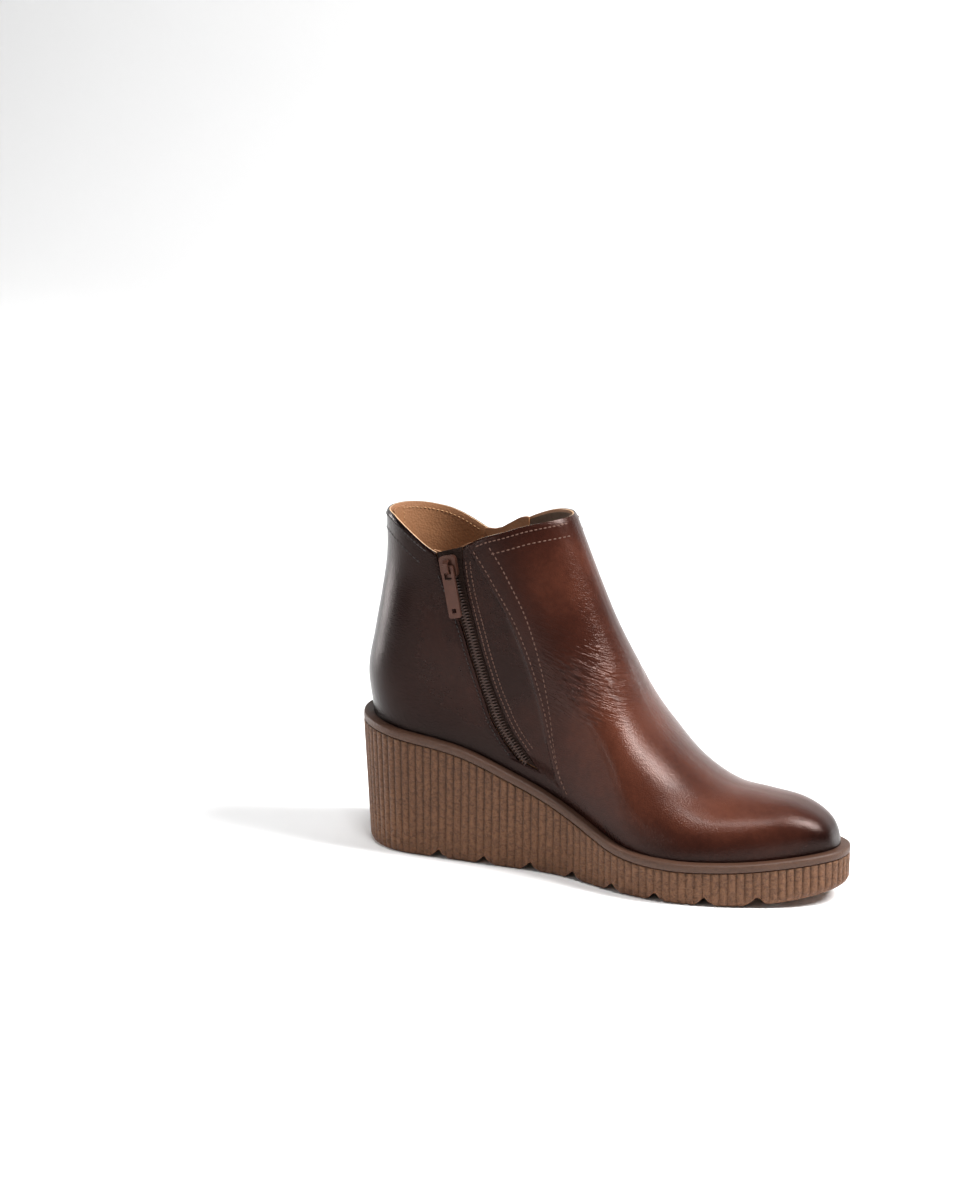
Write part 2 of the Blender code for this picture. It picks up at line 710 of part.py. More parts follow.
def build_ring(name, frame, look):
    """Wire ring with round corners whose upper bar lies in the bridge's hole."""
    pivot = pivot_of(frame)
    at, up, across, out = (pivot,) + frame[1:]
    wire = RING_WIRE / 2
    path = rounded(-RING_LONG + 2 * wire, 0.0, RING_WIDE / 2 - wire, RING_CORNER, 4)
    count, sides = len(path), 8
    verts, faces = [], []
    for i, (a, b) in enumerate(path):
        before, after = path[i - 1], path[(i + 1) % count]
        way = np.array([after[0] - before[0], after[1] - before[1]])
        way /= np.linalg.norm(way)
        for k in range(sides):
            turn = 2 * math.pi * k / sides
            da, db = wire * math.cos(turn) * way[1], -wire * math.cos(turn) * way[0]
            verts.append(at + up * (a + da) + across * (b + db) + out * wire * math.sin(turn))
    for i in range(count):
        for k in range(sides):
            j, m = (i + 1) % count, (k + 1) % sides
            faces.append((i * sides + k, j * sides + k, j * sides + m, i * sides + m))
    return solid(name, verts, faces, look, origin=pivot)


def build_strap(name, frame, look):
    """Leather strap folded through the ring, its two layers sewn flat below the fold."""
    pivot = pivot_of(frame)
    local = (pivot,) + frame[1:]
    bar = -RING_LONG + RING_WIRE
    hole = RING_WIRE / 2 + GAP
    fold = hole + STRAP_THICK / 2
    half = STRAP_THICK / 2
    neck = fold + 0.006
    ring = [(bar + fold * math.cos(math.radians(t)), fold * math.sin(math.radians(t)))
            for t in range(-120, 121, 20)]
    ring += [(bar - neck, half), (bar - STRAP_LONG, half), (bar - STRAP_LONG, -half),
             (bar - neck, -half)]
    strap = prism(name, local, ring, "across", -STRAP_WIDE / 2, STRAP_WIDE / 2, look, origin=pivot)
    eye = [(bar + hole * math.cos(math.radians(t)), hole * math.sin(math.radians(t)))
           for t in range(0, 360, 30)]
    cutter = prism("strap_eye", local, eye, "across", -STRAP_WIDE, STRAP_WIDE, look, origin=pivot)
    cut(strap, cutter, "DIFFERENCE")
    return strap


def hang(frame):
    """The same seat turned so that a long pull hangs just clear of the boot's side."""
    at, up, across, out = frame
    pivot = pivot_of(frame)
    clear = STRAP_THICK / 2 + 0.001
    best = 0.0
    for share in np.linspace(0.15, 1.0, 12):
        drop = share * (RING_LONG + STRAP_LONG)
        point = pivot - np.array([0.0, 0.0, 1.0]) * drop
        x, z = np.array([point[0] + LENGTH / 2]), np.array([point[2]])
        side_y = surface(OUTER, x, np.maximum(z - GAP, sole_top(x)))[0][1]
        best = max(best, math.atan2(side_y + clear - pivot[1], drop))
    down = np.array([0.0, math.sin(best), -math.cos(best)])
    across = np.array([-1.0, 0.0, 0.0])
    return at, -down, across, np.cross(across, -down)


def main():
    global Y_MIDDLE
    for obj in list(bpy.data.objects):
        bpy.data.objects.remove(obj, do_unlink=True)
    Y_MIDDLE = settle_middle()
    build_outsole()
    build_midsole()
    build_insole()
    build_upper()
    for word, side, look in (("inner", INNER, COIL), ("outer", OUTER, TEETH)):
        build_tape("zip_tape_" + word, side)
        chain = "zip_coil_inner" if side == INNER else "zip_teeth_outer"
        build_chain(chain, side, look)
    seat = zip_frame(INNER, False)
    build_slider("zip_slider_inner", INNER, seat, BROWN)
    build_tab("zip_tab_inner", seat, BROWN)
    seat = zip_frame(OUTER, True)
    build_slider("zip_slider_outer", OUTER, seat, GOLD)
    pull = hang(seat)
    pivot = pivot_of(seat)
    shift = pivot - pivot_of(pull)
    pull = (pull[0] + shift,) + pull[1:]
    build_ring("zip_ring_outer", pull, SILVER)
    build_strap("zip_pull_outer", pull, LEATHER)
    bpy.context.view_layer.update()


main()
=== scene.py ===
import math

import bmesh
import bpy
import numpy as np
from mathutils import Matrix, Vector


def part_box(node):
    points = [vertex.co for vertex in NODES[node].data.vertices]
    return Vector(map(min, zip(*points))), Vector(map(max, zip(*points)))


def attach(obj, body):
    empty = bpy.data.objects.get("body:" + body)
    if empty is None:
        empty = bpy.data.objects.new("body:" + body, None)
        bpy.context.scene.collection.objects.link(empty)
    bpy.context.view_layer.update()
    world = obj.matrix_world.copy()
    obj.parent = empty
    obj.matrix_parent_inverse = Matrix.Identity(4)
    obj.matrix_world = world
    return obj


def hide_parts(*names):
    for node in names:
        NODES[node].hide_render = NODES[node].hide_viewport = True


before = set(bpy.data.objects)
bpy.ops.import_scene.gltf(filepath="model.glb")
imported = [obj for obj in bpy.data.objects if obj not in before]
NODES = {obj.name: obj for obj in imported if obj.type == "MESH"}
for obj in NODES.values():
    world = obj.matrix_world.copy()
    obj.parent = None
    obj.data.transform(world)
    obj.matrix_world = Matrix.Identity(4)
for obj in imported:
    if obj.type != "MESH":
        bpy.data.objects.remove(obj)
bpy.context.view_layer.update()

# Sizes in metres, as in the part's source
LENGTH = 0.262
HALF_BALL = 0.0515
HALF_HEEL = 0.037
HEEL_HEIGHT = 0.068
PLATFORM = 0.0215
HEEL_ROUND = 0.0375
TOE_ROUND = 0.114
TOE_SKEW = -0.0025
TOE_SPRING = 0.0086
BACK_TAPER = 0.0055
SIDE_TAPER = 0.0015
EDGE_BEVEL = 0.0028
RIB_PITCH = 0.0042
RIB_DEPTH = 0.0008
BAND = 0.0042
GROOVES = 8
GROOVE_FIRST = 0.0546
GROOVE_PITCH = 0.0247
GROOVE_HALF = 0.0052
GROOVE_DEPTH = 0.0045
LEDGE = 0.005
WALL = 0.0024
PLACKET_STEP = 0.001
BACK_RISE = 0.104
FRONT_RISE = 0.141
COLLAR_HEIGHT = 0.172
SHAFT_HALF = 0.028
SHAFT_BLEND = 0.114
SLOT_BOTTOM = 0.05
GAP = 0.0003
MM = 0.001
CHAIN_SHARES = (SLOT_BOTTOM + 0.012, 0.91)
INNER, OUTER = -1, 1
ZIP_BACK, ZIP_FRONT, VAMP_EDGE = 0, 1, 2

# Length share, then half width on the inner and the outer side
SOLE_ROWS = (
    (0.00, HALF_HEEL, HALF_HEEL),
    (0.14, HALF_HEEL, HALF_HEEL),
    (0.30, 0.96 * HALF_HEEL, 1.06 * HALF_HEEL),
    (0.45, 0.68 * HALF_BALL, 0.81 * HALF_BALL),
    (0.60, 0.92 * HALF_BALL, 0.98 * HALF_BALL),
    (0.70, 1.01 * HALF_BALL, 0.99 * HALF_BALL),
    (0.80, 0.98 * HALF_BALL, 0.95 * HALF_BALL),
    (1.00, 0.81 * HALF_BALL, 0.79 * HALF_BALL),
)
# Length share, height of the sole's top between platform and heel
TOP_ROWS = (
    (0.00, 1.0), (0.12, 0.92), (0.25, 0.81), (0.38, 0.545), (0.50, 0.26),
    (0.60, 0.05), (0.70, 0.0), (0.82, 0.02), (1.00, 0.135),
)
# Height share of the back, how far it leans forward
BACK_ROWS = (
    (0.0, 0.0), (0.2, -0.031), (0.4, -0.003), (0.6, 0.027), (0.8, 0.048), (1.0, 0.041),
)
# Length share and height share of the ridge, from the toe up the instep
RIDGE_ROWS = (
    (1.000, 0.000), (0.985, 0.075), (0.955, 0.126), (0.900, 0.171), (0.830, 0.193),
    (0.760, 0.211), (0.700, 0.262), (0.640, 0.342), (0.590, 0.427), (0.540, 0.567),
    (0.490, 0.708), (0.403, 1.000), (0.358, 1.180),
)
# Length share, reach of the rounding beside the ridge
ROUND_ROWS = (
    (0.00, 0.040), (0.40, 0.044), (0.50, 0.033), (0.60, 0.021), (0.70, 0.036), (1.00, 0.030),
)
# Length share, collar height share on the inner and the outer side
COLLAR_ROWS = (
    (0.030, 1.000, 1.000), (0.070, 0.998, 0.990), (0.095, 0.982, 0.982), (0.115, 0.966, 0.975),
    (0.135, 0.948, 0.965), (0.155, 0.930, 0.953), (0.175, 0.915, 0.939), (0.200, 0.908, 0.921),
    (0.222, 0.928, 0.914), (0.245, 0.951, 0.932), (0.270, 0.972, 0.960), (0.310, 0.994, 0.992),
    (0.355, 1.018, 1.018), (0.395, 1.031, 1.031), (0.440, 1.040, 1.040),
)
# Height share, then zip back, zip front and vamp edge for the inner and outer side
SEAM_ROWS = (
    (0.000, 0.412, 0.447, 0.469, 0.424, 0.459, 0.484),
    (0.065, 0.354, 0.401, 0.443, 0.374, 0.421, 0.458),
    (0.140, 0.317, 0.358, 0.427, 0.341, 0.382, 0.434),
    (0.270, 0.286, 0.318, 0.407, 0.312, 0.344, 0.404),
    (0.410, 0.262, 0.291, 0.382, 0.288, 0.317, 0.374),
    (0.580, 0.239, 0.267, 0.345, 0.264, 0.292, 0.344),
    (0.780, 0.211, 0.244, 0.291, 0.236, 0.269, 0.310),
    (0.930, 0.187, 0.234, 0.254, 0.211, 0.258, 0.283),
    (1.000, 0.178, 0.233, 0.240, 0.202, 0.256, 0.264),
)


def smooth(rows, at, column=1):
    stations = np.array([row[0] for row in rows], float)
    values = np.array([row[column] for row in rows], float)
    if stations[0] > stations[-1]:
        stations, values = stations[::-1], values[::-1]
    step = np.diff(stations)
    slope = np.diff(values) / step
    tangent = np.empty(len(stations))
    tangent[1:-1] = (slope[:-1] * step[1:] + slope[1:] * step[:-1]) / (step[1:] + step[:-1])
    tangent[0], tangent[-1] = slope[0], slope[-1]
    t = np.clip(at, stations[0], stations[-1])
    i = np.clip(np.searchsorted(stations, t, side="right") - 1, 0, len(step) - 1)
    u = (t - stations[i]) / step[i]
    start = (1 + 2 * u) * (1 - u) ** 2 * values[i] + u * (1 - u) ** 2 * step[i] * tangent[i]
    end = u * u * (3 - 2 * u) * values[i + 1] + u * u * (u - 1) * step[i] * tangent[i + 1]
    return start + end


def ease(t):
    t = np.clip(t, 0, 1)
    return t * t * (3 - 2 * t)


def quarter(t, power=2.0):
    return np.maximum(1 - (1 - np.clip(t, 0, 1)) ** power, 0) ** (1 / power)


def skew(x):
    return TOE_SKEW * np.clip((x / LENGTH - 0.6) / 0.4, 0, 1) ** 2


def sole_top(x):
    return PLATFORM + (HEEL_HEIGHT - PLATFORM) * smooth(TOP_ROWS, x / LENGTH)


def sole_half(side, x):
    wide = smooth(SOLE_ROWS, x / LENGTH, 1 if side == INNER else 2)
    return wide * quarter(x / HEEL_ROUND, 2.1) * quarter((LENGTH - x) / TOE_ROUND, 2.2)


def run_along(x, y):
    """Length along a line up to each of its points."""
    return np.concatenate([[0], np.cumsum(np.hypot(np.diff(x), np.diff(y)))])


def inset_line(side, inset, count=400):
    turn = np.linspace(0, math.pi, count)
    x = LENGTH * (1 - np.cos(turn)) / 2
    y = sole_half(side, x)
    dx, dy = np.gradient(x), np.gradient(y)
    size = np.hypot(dx, dy)
    x_in, y_in = x + inset * dy / size, y - inset * dx / size
    x_in[0], x_in[-1], y_in[0], y_in[-1] = inset, LENGTH - inset, 0, 0
    return x_in, np.maximum(y_in, 0)


def collar(side, x):
    return COLLAR_HEIGHT * smooth(COLLAR_ROWS, x / LENGTH, 1 if side == INNER else 2)


def back_x(z):
    return LEDGE + BACK_RISE * smooth(BACK_ROWS, (z - HEEL_HEIGHT) / BACK_RISE)


def ridge_line(count=900):
    row = np.linspace(0, len(RIDGE_ROWS) - 1, count)
    along = [(k, r[0]) for k, r in enumerate(RIDGE_ROWS)]
    rise = [(k, r[1]) for k, r in enumerate(RIDGE_ROWS)]
    x = LEDGE + (LENGTH - 2 * LEDGE) * smooth(along, row)
    z = sole_top(x) + FRONT_RISE * smooth(rise, row)
    dx, dz = np.gradient(x), np.gradient(z)
    size = np.hypot(dx, dz)
    return x, z, -dz / size, dx / size


RIDGE = ridge_line()
FEATHER = {side: inset_line(side, LEDGE) for side in (INNER, OUTER)}


def front_round(x, z):
    rx, rz, nx, nz = RIDGE
    flat = np.stack([np.ravel(x), np.ravel(z)], 1)
    parts = np.array_split(flat, 24)
    near = [((part[:, :1] - rx) ** 2 + (part[:, 1:] - rz) ** 2).argmin(1) for part in parts]
    near = np.concatenate(near).reshape(np.shape(x))
    away = np.abs((x - rx[near]) * nx[near] + (z - rz[near]) * nz[near])
    shaft = quarter(away / smooth(ROUND_ROWS, rx[near] / LENGTH))
    low = sole_top(x)
    top = np.interp(x, rx[::-1], rz[::-1])
    share = np.clip((z - low) / np.maximum(top - low, 1e-6), 0, 1)
    box = 0.7 * ease((x / LENGTH - 0.75) / 0.25)
    vamp = np.maximum(1 - share ** (2.3 + box), 0) ** (1 / (2 + box))
    return shaft + (vamp - shaft) * ease((x / LENGTH - 0.58) / 0.2)


def half_width(side, x, z):
    back = (back_x(z) - LEDGE) * ease(1 - (x / LENGTH - 0.2) / 0.3)
    station = x - back
    foot = np.interp(station, *FEATHER[side])
    shaft = SHAFT_HALF * quarter((station - LEDGE) / (HEEL_ROUND - LEDGE), 2.1)
    share = ease((z - sole_top(x)) / SHAFT_BLEND) * ease((0.72 - x / LENGTH) / 0.25)
    return (foot + (shaft - foot) * share) * front_round(x, z)


def seam_line(side, which, share):
    x = LENGTH * smooth(SEAM_ROWS, share, 1 + which + (0 if side == INNER else 3))
    low = sole_top(x)
    return x, low + share * (collar(side, x) - low)


def back_line(share):
    x = np.full(len(share), LEDGE)
    for _ in range(3):
        low = sole_top(x)
        x = back_x(low + (COLLAR_HEIGHT - low) * share)
    return x


def front_line(side, share):
    x, z = RIDGE[0], RIDGE[1]
    stop = int(np.argmax(z > collar(side, x))) + 1
    run = run_along(x[:stop], z[:stop])
    return np.interp(share * run[-1], run, x[:stop])


def side_top(side, x):
    rx, rz = RIDGE[0], RIDGE[1]
    return np.minimum(collar(side, x), np.interp(x, rx[::-1], rz[::-1]))


def fill(side, start, end, part, share, fan):
    row = share[:, None]
    x = start[:, None] + (end - start)[:, None] * part
    low = sole_top(x)
    level = low + row * (side_top(side, x) - low)
    if not fan:
        return x, level
    tip = (np.interp(end, RIDGE[0][::-1], RIDGE[1][::-1]) - sole_top(end))[:, None]
    foot = (level - low)[:, :1]
    rise = foot + (tip - foot) * part
    rise += row * ((level - low)[-1:] - rise[-1:])
    limit = (side_top(side, x) - low) * (1 - 0.25 * (1 - part) * (1 - row))
    return x, low + np.minimum(rise, limit)


def y_middle():
    x = np.linspace(0, LENGTH, 400)
    inner = (skew(x) - sole_half(INNER, x)).min()
    outer = (skew(x) + sole_half(OUTER, x)).max()
    return (inner + outer) / 2


Y_MIDDLE = y_middle()


def place(x, y, z):
    return np.stack([x - LENGTH / 2, y - Y_MIDDLE, z], -1)


def surface(side, x, z):
    return place(x, side * half_width(side, x, z) + skew(x), z + GAP)


def unit(v):
    return v / np.linalg.norm(v, axis=-1, keepdims=True)


def surface_frame(side, x, z):
    """Points on the upper, with unit directions forward, up and out of the boot."""
    rise = 1e-3
    here = surface(side, x, z)
    fore = surface(side, x + rise, z) - here
    up = surface(side, x, z + rise) - here
    return here, fore, up, unit(np.cross(fore, up) * -side)


def along_line(side, x, z):
    """Frame with its first direction along the line given by the points."""
    here, _, _, out = surface_frame(side, x, z)
    way = np.gradient(here, axis=0)
    way = unit(way - out * (way * out).sum(-1, keepdims=True))
    return here, way, np.cross(out, way), out


def even(points, pitch):
    """Parameters that split a polyline into even steps of about one pitch."""
    run = np.concatenate([[0], np.cumsum(np.linalg.norm(np.diff(points, axis=0), axis=1))])
    count = max(int(run[-1] / pitch), 2)
    at = (np.arange(count) + 0.5) * run[-1] / count
    return np.interp(at, run, np.arange(len(points)))


def mesh_piece(name, verts, faces, mats=(), index=None, soft=True, body="boot"):
    mesh = bpy.data.meshes.new(name)
    mesh.from_pydata([tuple(map(float, v)) for v in verts], [], faces)
    for mat in mats:
        mesh.materials.append(mat)
    if index is not None:
        mesh.polygons.foreach_set("material_index", np.asarray(index, np.int32))
    bm = bmesh.new()
    bm.from_mesh(mesh)
    bmesh.ops.recalc_face_normals(bm, faces=bm.faces)
    bm.to_mesh(mesh)
    bm.free()
    if soft:
        mesh.shade_smooth()
    obj = bpy.data.objects.new(name, mesh)
    bpy.context.scene.collection.objects.link(obj)
    if body:
        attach(obj, body)
    return obj


# Materials

WRINKLE_FALL = math.radians(22)


class Nodes:
    """Short helpers round one material's node tree."""

    def __init__(self, name, rough=0.5, metal=0.0, specular=None):
        self.mat = bpy.data.materials.new(name)
        self.mat.use_nodes = True
        self.tree = self.mat.node_tree
        self.shader = self.tree.nodes["Principled BSDF"]
        self.shader.inputs["Roughness"].default_value = rough
        self.shader.inputs["Metallic"].default_value = metal
        if specular is not None:
            self.shader.inputs["Specular IOR Level"].default_value = specular
        self.coords = self.add("ShaderNodeTexCoord").outputs["Object"]

    def add(self, kind, **values):
        node = self.tree.nodes.new(kind)
        for key, value in values.items():
            setattr(node, key, value)
        return node

    def link(self, source, target):
        self.tree.links.new(source, target)

    def mapped(self, scale=(1, 1, 1), turn=(0, 0, 0), vector=None):
        node = self.add("ShaderNodeMapping")
        node.inputs["Scale"].default_value = scale
        node.inputs["Rotation"].default_value = turn
        self.link(vector or self.coords, node.inputs["Vector"])
        return node.outputs["Vector"]

    def noise(self, scale, detail=3.0, rough=0.55, vector=None, distort=0.0):
        node = self.add("ShaderNodeTexNoise")
        node.inputs["Scale"].default_value = scale
        node.inputs["Detail"].default_value = detail
        node.inputs["Roughness"].default_value = rough
        node.inputs["Distortion"].default_value = distort
        self.link(vector or self.coords, node.inputs["Vector"])
        return node.outputs["Fac"]

    def cells(self, scale):
        node = self.add("ShaderNodeTexVoronoi")
        node.inputs["Scale"].default_value = scale
        self.link(self.coords, node.inputs["Vector"])
        return node.outputs["Distance"]

    def painted(self, name):
        return self.add("ShaderNodeAttribute", attribute_name=name).outputs["Fac"]

    def ramp(self, fac, *stops):
        node = self.add("ShaderNodeValToRGB")
        ramp = node.color_ramp
        while len(ramp.elements) < len(stops):
            ramp.elements.new(0.5)
        for element, (at, colour) in zip(ramp.elements, stops):
            element.position = at
            element.color = (*colour, 1)
        self.link(fac, node.inputs["Fac"])
        return node.outputs["Color"]

    def math(self, kind, a, b=None, clamp=False):
        node = self.add("ShaderNodeMath", operation=kind, use_clamp=clamp)
        for slot, value in zip(node.inputs, (a, b)):
            if value is None:
                continue
            if isinstance(value, (int, float)):
                slot.default_value = value
            else:
                self.link(value, slot)
        return node.outputs["Value"]

    def mix(self, fac, a, b):
        node = self.add("ShaderNodeMix", data_type="RGBA")
        for slot, value in zip((node.inputs[0], node.inputs[6], node.inputs[7]), (fac, a, b)):
            if isinstance(value, (int, float)):
                slot.default_value = value
            elif isinstance(value, tuple):
                slot.default_value = (*value, 1)
            else:
                self.link(value, slot)
        return node.outputs[2]

    def colour(self, source):
        if isinstance(source, tuple):
            self.shader.inputs["Base Color"].default_value = (*source, 1)
        else:
            self.link(source, self.shader.inputs["Base Color"])
        return self

    def remap(self, fac, low, high, start=0.0, end=1.0):
        node = self.add("ShaderNodeMapRange")
        for key, value in (("From Min", start), ("From Max", end), ("To Min", low), ("To Max", high)):
            node.inputs[key].default_value = value
        self.link(fac, node.inputs["Value"])
        return node.outputs["Result"]

    def rough(self, fac, low, high):
        self.link(self.remap(fac, low, high), self.shader.inputs["Roughness"])

    def bump(self, *layers):
        last = None
        for height, strength, distance in layers:
            node = self.add("ShaderNodeBump")
            node.inputs["Strength"].default_value = strength
            node.inputs["Distance"].default_value = distance
            self.link(height, node.inputs["Height"])
            if last:
                self.link(last, node.inputs["Normal"])
            last = node.outputs["Normal"]
        self.link(last, self.shader.inputs["Normal"])


def leather():
    """Burnished brown calf: the painted shade, burnish with painted highlights, runs from near black to
    reddish brown.
    """
    n = Nodes("leather", 0.22, specular=0.18)
    n.shader.inputs["Specular Tint"].default_value = (1.0, 0.70, 0.62, 1)
    n.shader.inputs["Coat Weight"].default_value = 0.05
    n.shader.inputs["Coat Roughness"].default_value = 0.18
    cloud = n.noise(48, 3, 0.5)
    mottle = n.noise(420, 3, 0.6)
    fac = n.math("ADD", n.painted("shade"), n.math("MULTIPLY", n.math("SUBTRACT", cloud, 0.5), 0.30))
    fac = n.math("ADD", fac, n.math("MULTIPLY", n.math("SUBTRACT", mottle, 0.5), 0.16), clamp=True)
    n.colour(n.ramp(fac, (0.0, (0.0022, 0.0006, 0.0005)), (0.3, (0.0080, 0.0021, 0.0015)),
                    (0.6, (0.0300, 0.0083, 0.0050)), (1.0, (0.1000, 0.0300, 0.0165))))
    n.rough(n.noise(110, 4, 0.6), 0.18, 0.25)
    # fine wrinkles run down and forward across the instep
    turned = n.mapped(turn=(0, -WRINKLE_FALL, 0))
    drawn = n.mapped((0.15, 0.15, 1.0), vector=turned)
    wrinkle = n.noise(1000, 2, 0.5, drawn, 0.3)
    crease = n.math("MULTIPLY", wrinkle, n.painted("crease"))
    n.bump((crease, 1.0, 0.0018), (n.cells(1350), 0.22, 0.0005), (n.noise(2400, 2, 0.5), 0.16, 0.0003))
    return n.mat


def plain_leather(name, dark, light, rough=0.5, grain=1300, strength=0.18):
    n = Nodes(name, rough)
    n.colour(n.mix(n.noise(70, 4, 0.6), dark, light))
    n.rough(n.noise(180, 3, 0.6), rough - 0.06, rough + 0.08)
    n.bump((n.cells(grain), strength, 0.0004), (n.noise(900, 3, 0.6), 0.12, 0.0003))
    return n.mat


def gum(name, dark, light, crepe, rough=0.62):
    """Natural crepe rubber: mottled, with painted shade in its pits and rib grooves, darker towards the top,
    with crumbs in its side.
    """
    n = Nodes(name, rough, specular=0.35)
    cloud = n.noise(38, 4, 0.6)
    crumb = n.noise(520, 3, 0.65, n.mapped((1, 1, 1.25)), 0.7)
    speck = n.noise(1500, 2, 0.7)
    base = n.mix(cloud, dark, light)
    # painted shade: darker where the crumb bump sinks into pits
    pit_shade = n.remap(crumb, min(1.0, 1.1 * crepe), 0.0, 0.36, 0.58)
    base = n.mix(n.math("MULTIPLY", pit_shade, 0.75), base, tuple(c * 0.52 for c in dark))
    # painted shade in the rib grooves, and darker towards the top, from the sole's painted attribute
    base = n.mix(n.painted("groove_shade_top_dark"), base, tuple(c * 0.30 for c in dark))
    n.colour(base)
    n.rough(speck, rough - 0.08, rough + 0.14)
    n.bump((crumb, crepe, 0.0016), (speck, crepe * 0.5, 0.0004))
    return n.mat


def metal(name, colour, rough):
    n = Nodes(name, rough, 1.0)
    n.colour(n.mix(n.noise(240, 3, 0.6), tuple(c * 0.6 for c in colour), colour))
    n.rough(n.noise(500, 3, 0.6), rough - 0.05, rough + 0.12)
    n.bump((n.noise(1800, 2, 0.5), 0.06, 0.0002))
    return n.mat


def weave(name, dark, light, pitch=2200):
    n = Nodes(name, 0.85, specular=0.15)
    n.colour(n.mix(n.noise(600, 2, 0.6), dark, light))
    wave = n.add("ShaderNodeTexWave", wave_type="BANDS", bands_direction="Z")
    wave.inputs["Scale"].default_value = pitch / 6.28
    n.link(n.coords, wave.inputs["Vector"])
    n.bump((wave.outputs["Fac"], 0.5, 0.0005), (n.noise(2400, 2, 0.6), 0.3, 0.0003))
    return n.mat


LEATHER = leather()
EDGE = plain_leather("cut_edge", (0.016, 0.007, 0.005), (0.032, 0.013, 0.008), 0.55)
LINING = plain_leather("lining", (0.200, 0.086, 0.036), (0.300, 0.140, 0.062), 0.55, 900, 0.30)
BINDING = plain_leather("binding", (0.50, 0.30, 0.16), (0.66, 0.43, 0.25), 0.55, 1200, 0.2)
STRAP = plain_leather("pull_leather", (0.020, 0.007, 0.005), (0.050, 0.015, 0.010), 0.36, 1500, 0.10)
THREAD = Nodes("thread", 0.6).colour((0.092, 0.040, 0.024)).mat
THREAD_DARK = Nodes("thread_dark", 0.6).colour((0.010, 0.005, 0.004)).mat
THREAD_TAN = Nodes("thread_tan", 0.6).colour((0.36, 0.19, 0.085)).mat
GUM = gum("gum", (0.125, 0.052, 0.023), (0.200, 0.090, 0.041), 0.90)
RAND = gum("rand", (0.050, 0.021, 0.011), (0.085, 0.038, 0.020), 0.35, 0.5)
RIM_TOP = gum("rim_top", (0.040, 0.017, 0.009), (0.070, 0.030, 0.016), 0.20, 0.5)
COIL = Nodes("zip_coil", 0.34).colour((0.050, 0.024, 0.016)).mat
TEETH = metal("teeth_metal", (0.42, 0.33, 0.25), 0.30)
TAPE = weave("zip_tape", (0.008, 0.004, 0.003), (0.024, 0.011, 0.007))
ELASTIC = weave("facing", (0.080, 0.050, 0.034), (0.150, 0.100, 0.070), 5200)
BROWN = metal("painted_metal", (0.085, 0.034, 0.022), 0.30)
BROWN.node_tree.nodes["Principled BSDF"].inputs["Metallic"].default_value = 0.55
GOLD = metal("copper_metal", (0.66, 0.36, 0.21), 0.24)
SILVER = metal("ring_metal", (0.62, 0.60, 0.57), 0.22)


# The upper

# Cells up the height, behind the zip, over the placket and over the front
FINE = (180, 46, 14, 190)
COARSE = (64, 24, 6, 60)
# Where the rim starts to round over, and how deep its two edges and the rolled edges sink
RIM_SHARE = 0.986
RIM_DROP = 0.0006
LINING_DROP = 0.0004
ROLL_DROP = 0.0008
LEATHER_SHARE = 0.62
# Flex creases on the instep in the side view, in mm: start x, start z, end x, end z, depth, width
CREASES = (
    (122.0, 117.5, 136.0, 111.5, 0.10, 0.75),
    (117.0, 113.0, 138.0, 107.0, 0.15, 0.75),
    (115.0, 110.5, 134.0, 104.8, 0.16, 0.70),
    (112.5, 109.0, 138.0, 101.0, 0.22, 0.75),
    (111.0, 106.8, 141.0, 95.8, 0.24, 0.80),
    (112.0, 105.0, 131.0, 99.6, 0.18, 0.65),
    (112.0, 103.2, 140.5, 94.0, 0.24, 0.80),
    (113.0, 101.6, 129.0, 97.6, 0.18, 0.65),
    (113.0, 99.8, 146.0, 90.2, 0.24, 0.80),
    (114.0, 98.0, 130.0, 94.8, 0.18, 0.65),
    (114.0, 96.2, 137.0, 91.6, 0.20, 0.75),
    (115.5, 93.6, 143.5, 86.0, 0.20, 0.80),
    (118.5, 91.4, 134.0, 87.6, 0.16, 0.65),
    (118.5, 89.4, 146.0, 79.5, 0.18, 0.80),
    (129.0, 82.4, 144.0, 79.0, 0.12, 0.75),
    (133.0, 102.4, 151.0, 87.6, 0.16, 0.80),
    (135.0, 106.2, 148.5, 93.6, 0.15, 0.80),
    (124.0, 84.6, 138.0, 81.4, 0.10, 0.75),
)
# Wide soft dents of shaft and quarter: x, z, reach, depth
DENTS = (
    (0.030, 0.140, 0.016, 0.0009), (0.052, 0.112, 0.018, -0.0004), (0.120, 0.100, 0.022, 0.0007),
    (0.060, 0.085, 0.016, 0.0005), (0.150, 0.060, 0.018, 0.0004),
)
# Painted highlights: lighter patches where the sheen falls on instep, vamp, toe and quarter: strength, x, z,
# reach in x, reach in z
PAINTED_SHEEN_PATCHES = (
    (0.26, 0.104, 0.150, 0.022, 0.024), (0.20, 0.150, 0.078, 0.030, 0.030),
    (0.22, 0.205, 0.045, 0.026, 0.013), (0.10, 0.040, 0.105, 0.022, 0.022),
)


def folds(side, x, z):
    """Soft troughs and ridges of the flexed leather, as a depth below the surface."""
    total = np.zeros_like(x)
    for k, (x0, z0, x1, z1, deep, wide) in enumerate(CREASES):
        x0, z0, x1, z1, deep, wide = (v * MM for v in (x0, z0, x1, z1, deep, wide))
        dx, dz = x1 - x0, z1 - z0
        size = math.hypot(dx, dz)
        along = ((x - x0) * dx + (z - z0) * dz) / size ** 2
        off = (-(x - x0) * dz + (z - z0) * dx) / size
        off = off - 0.00045 * np.sin(along * 13 + k * 2.4) - 0.0009 * along * (1 - along)
        fade = ease(along / 0.3) * ease((1 - along) / 0.45)
        dip = np.exp(-(off / wide) ** 2) - 0.6 * np.exp(-((off - 1.6 * wide) / wide) ** 2)
        total += 1.9 * deep * dip * fade
    if side == OUTER:
        total *= 0.6
    for cx, cz, wide, deep in DENTS:
        total += deep * np.exp(-((x - cx) ** 2 + (z - cz) ** 2) / wide ** 2)
    return total


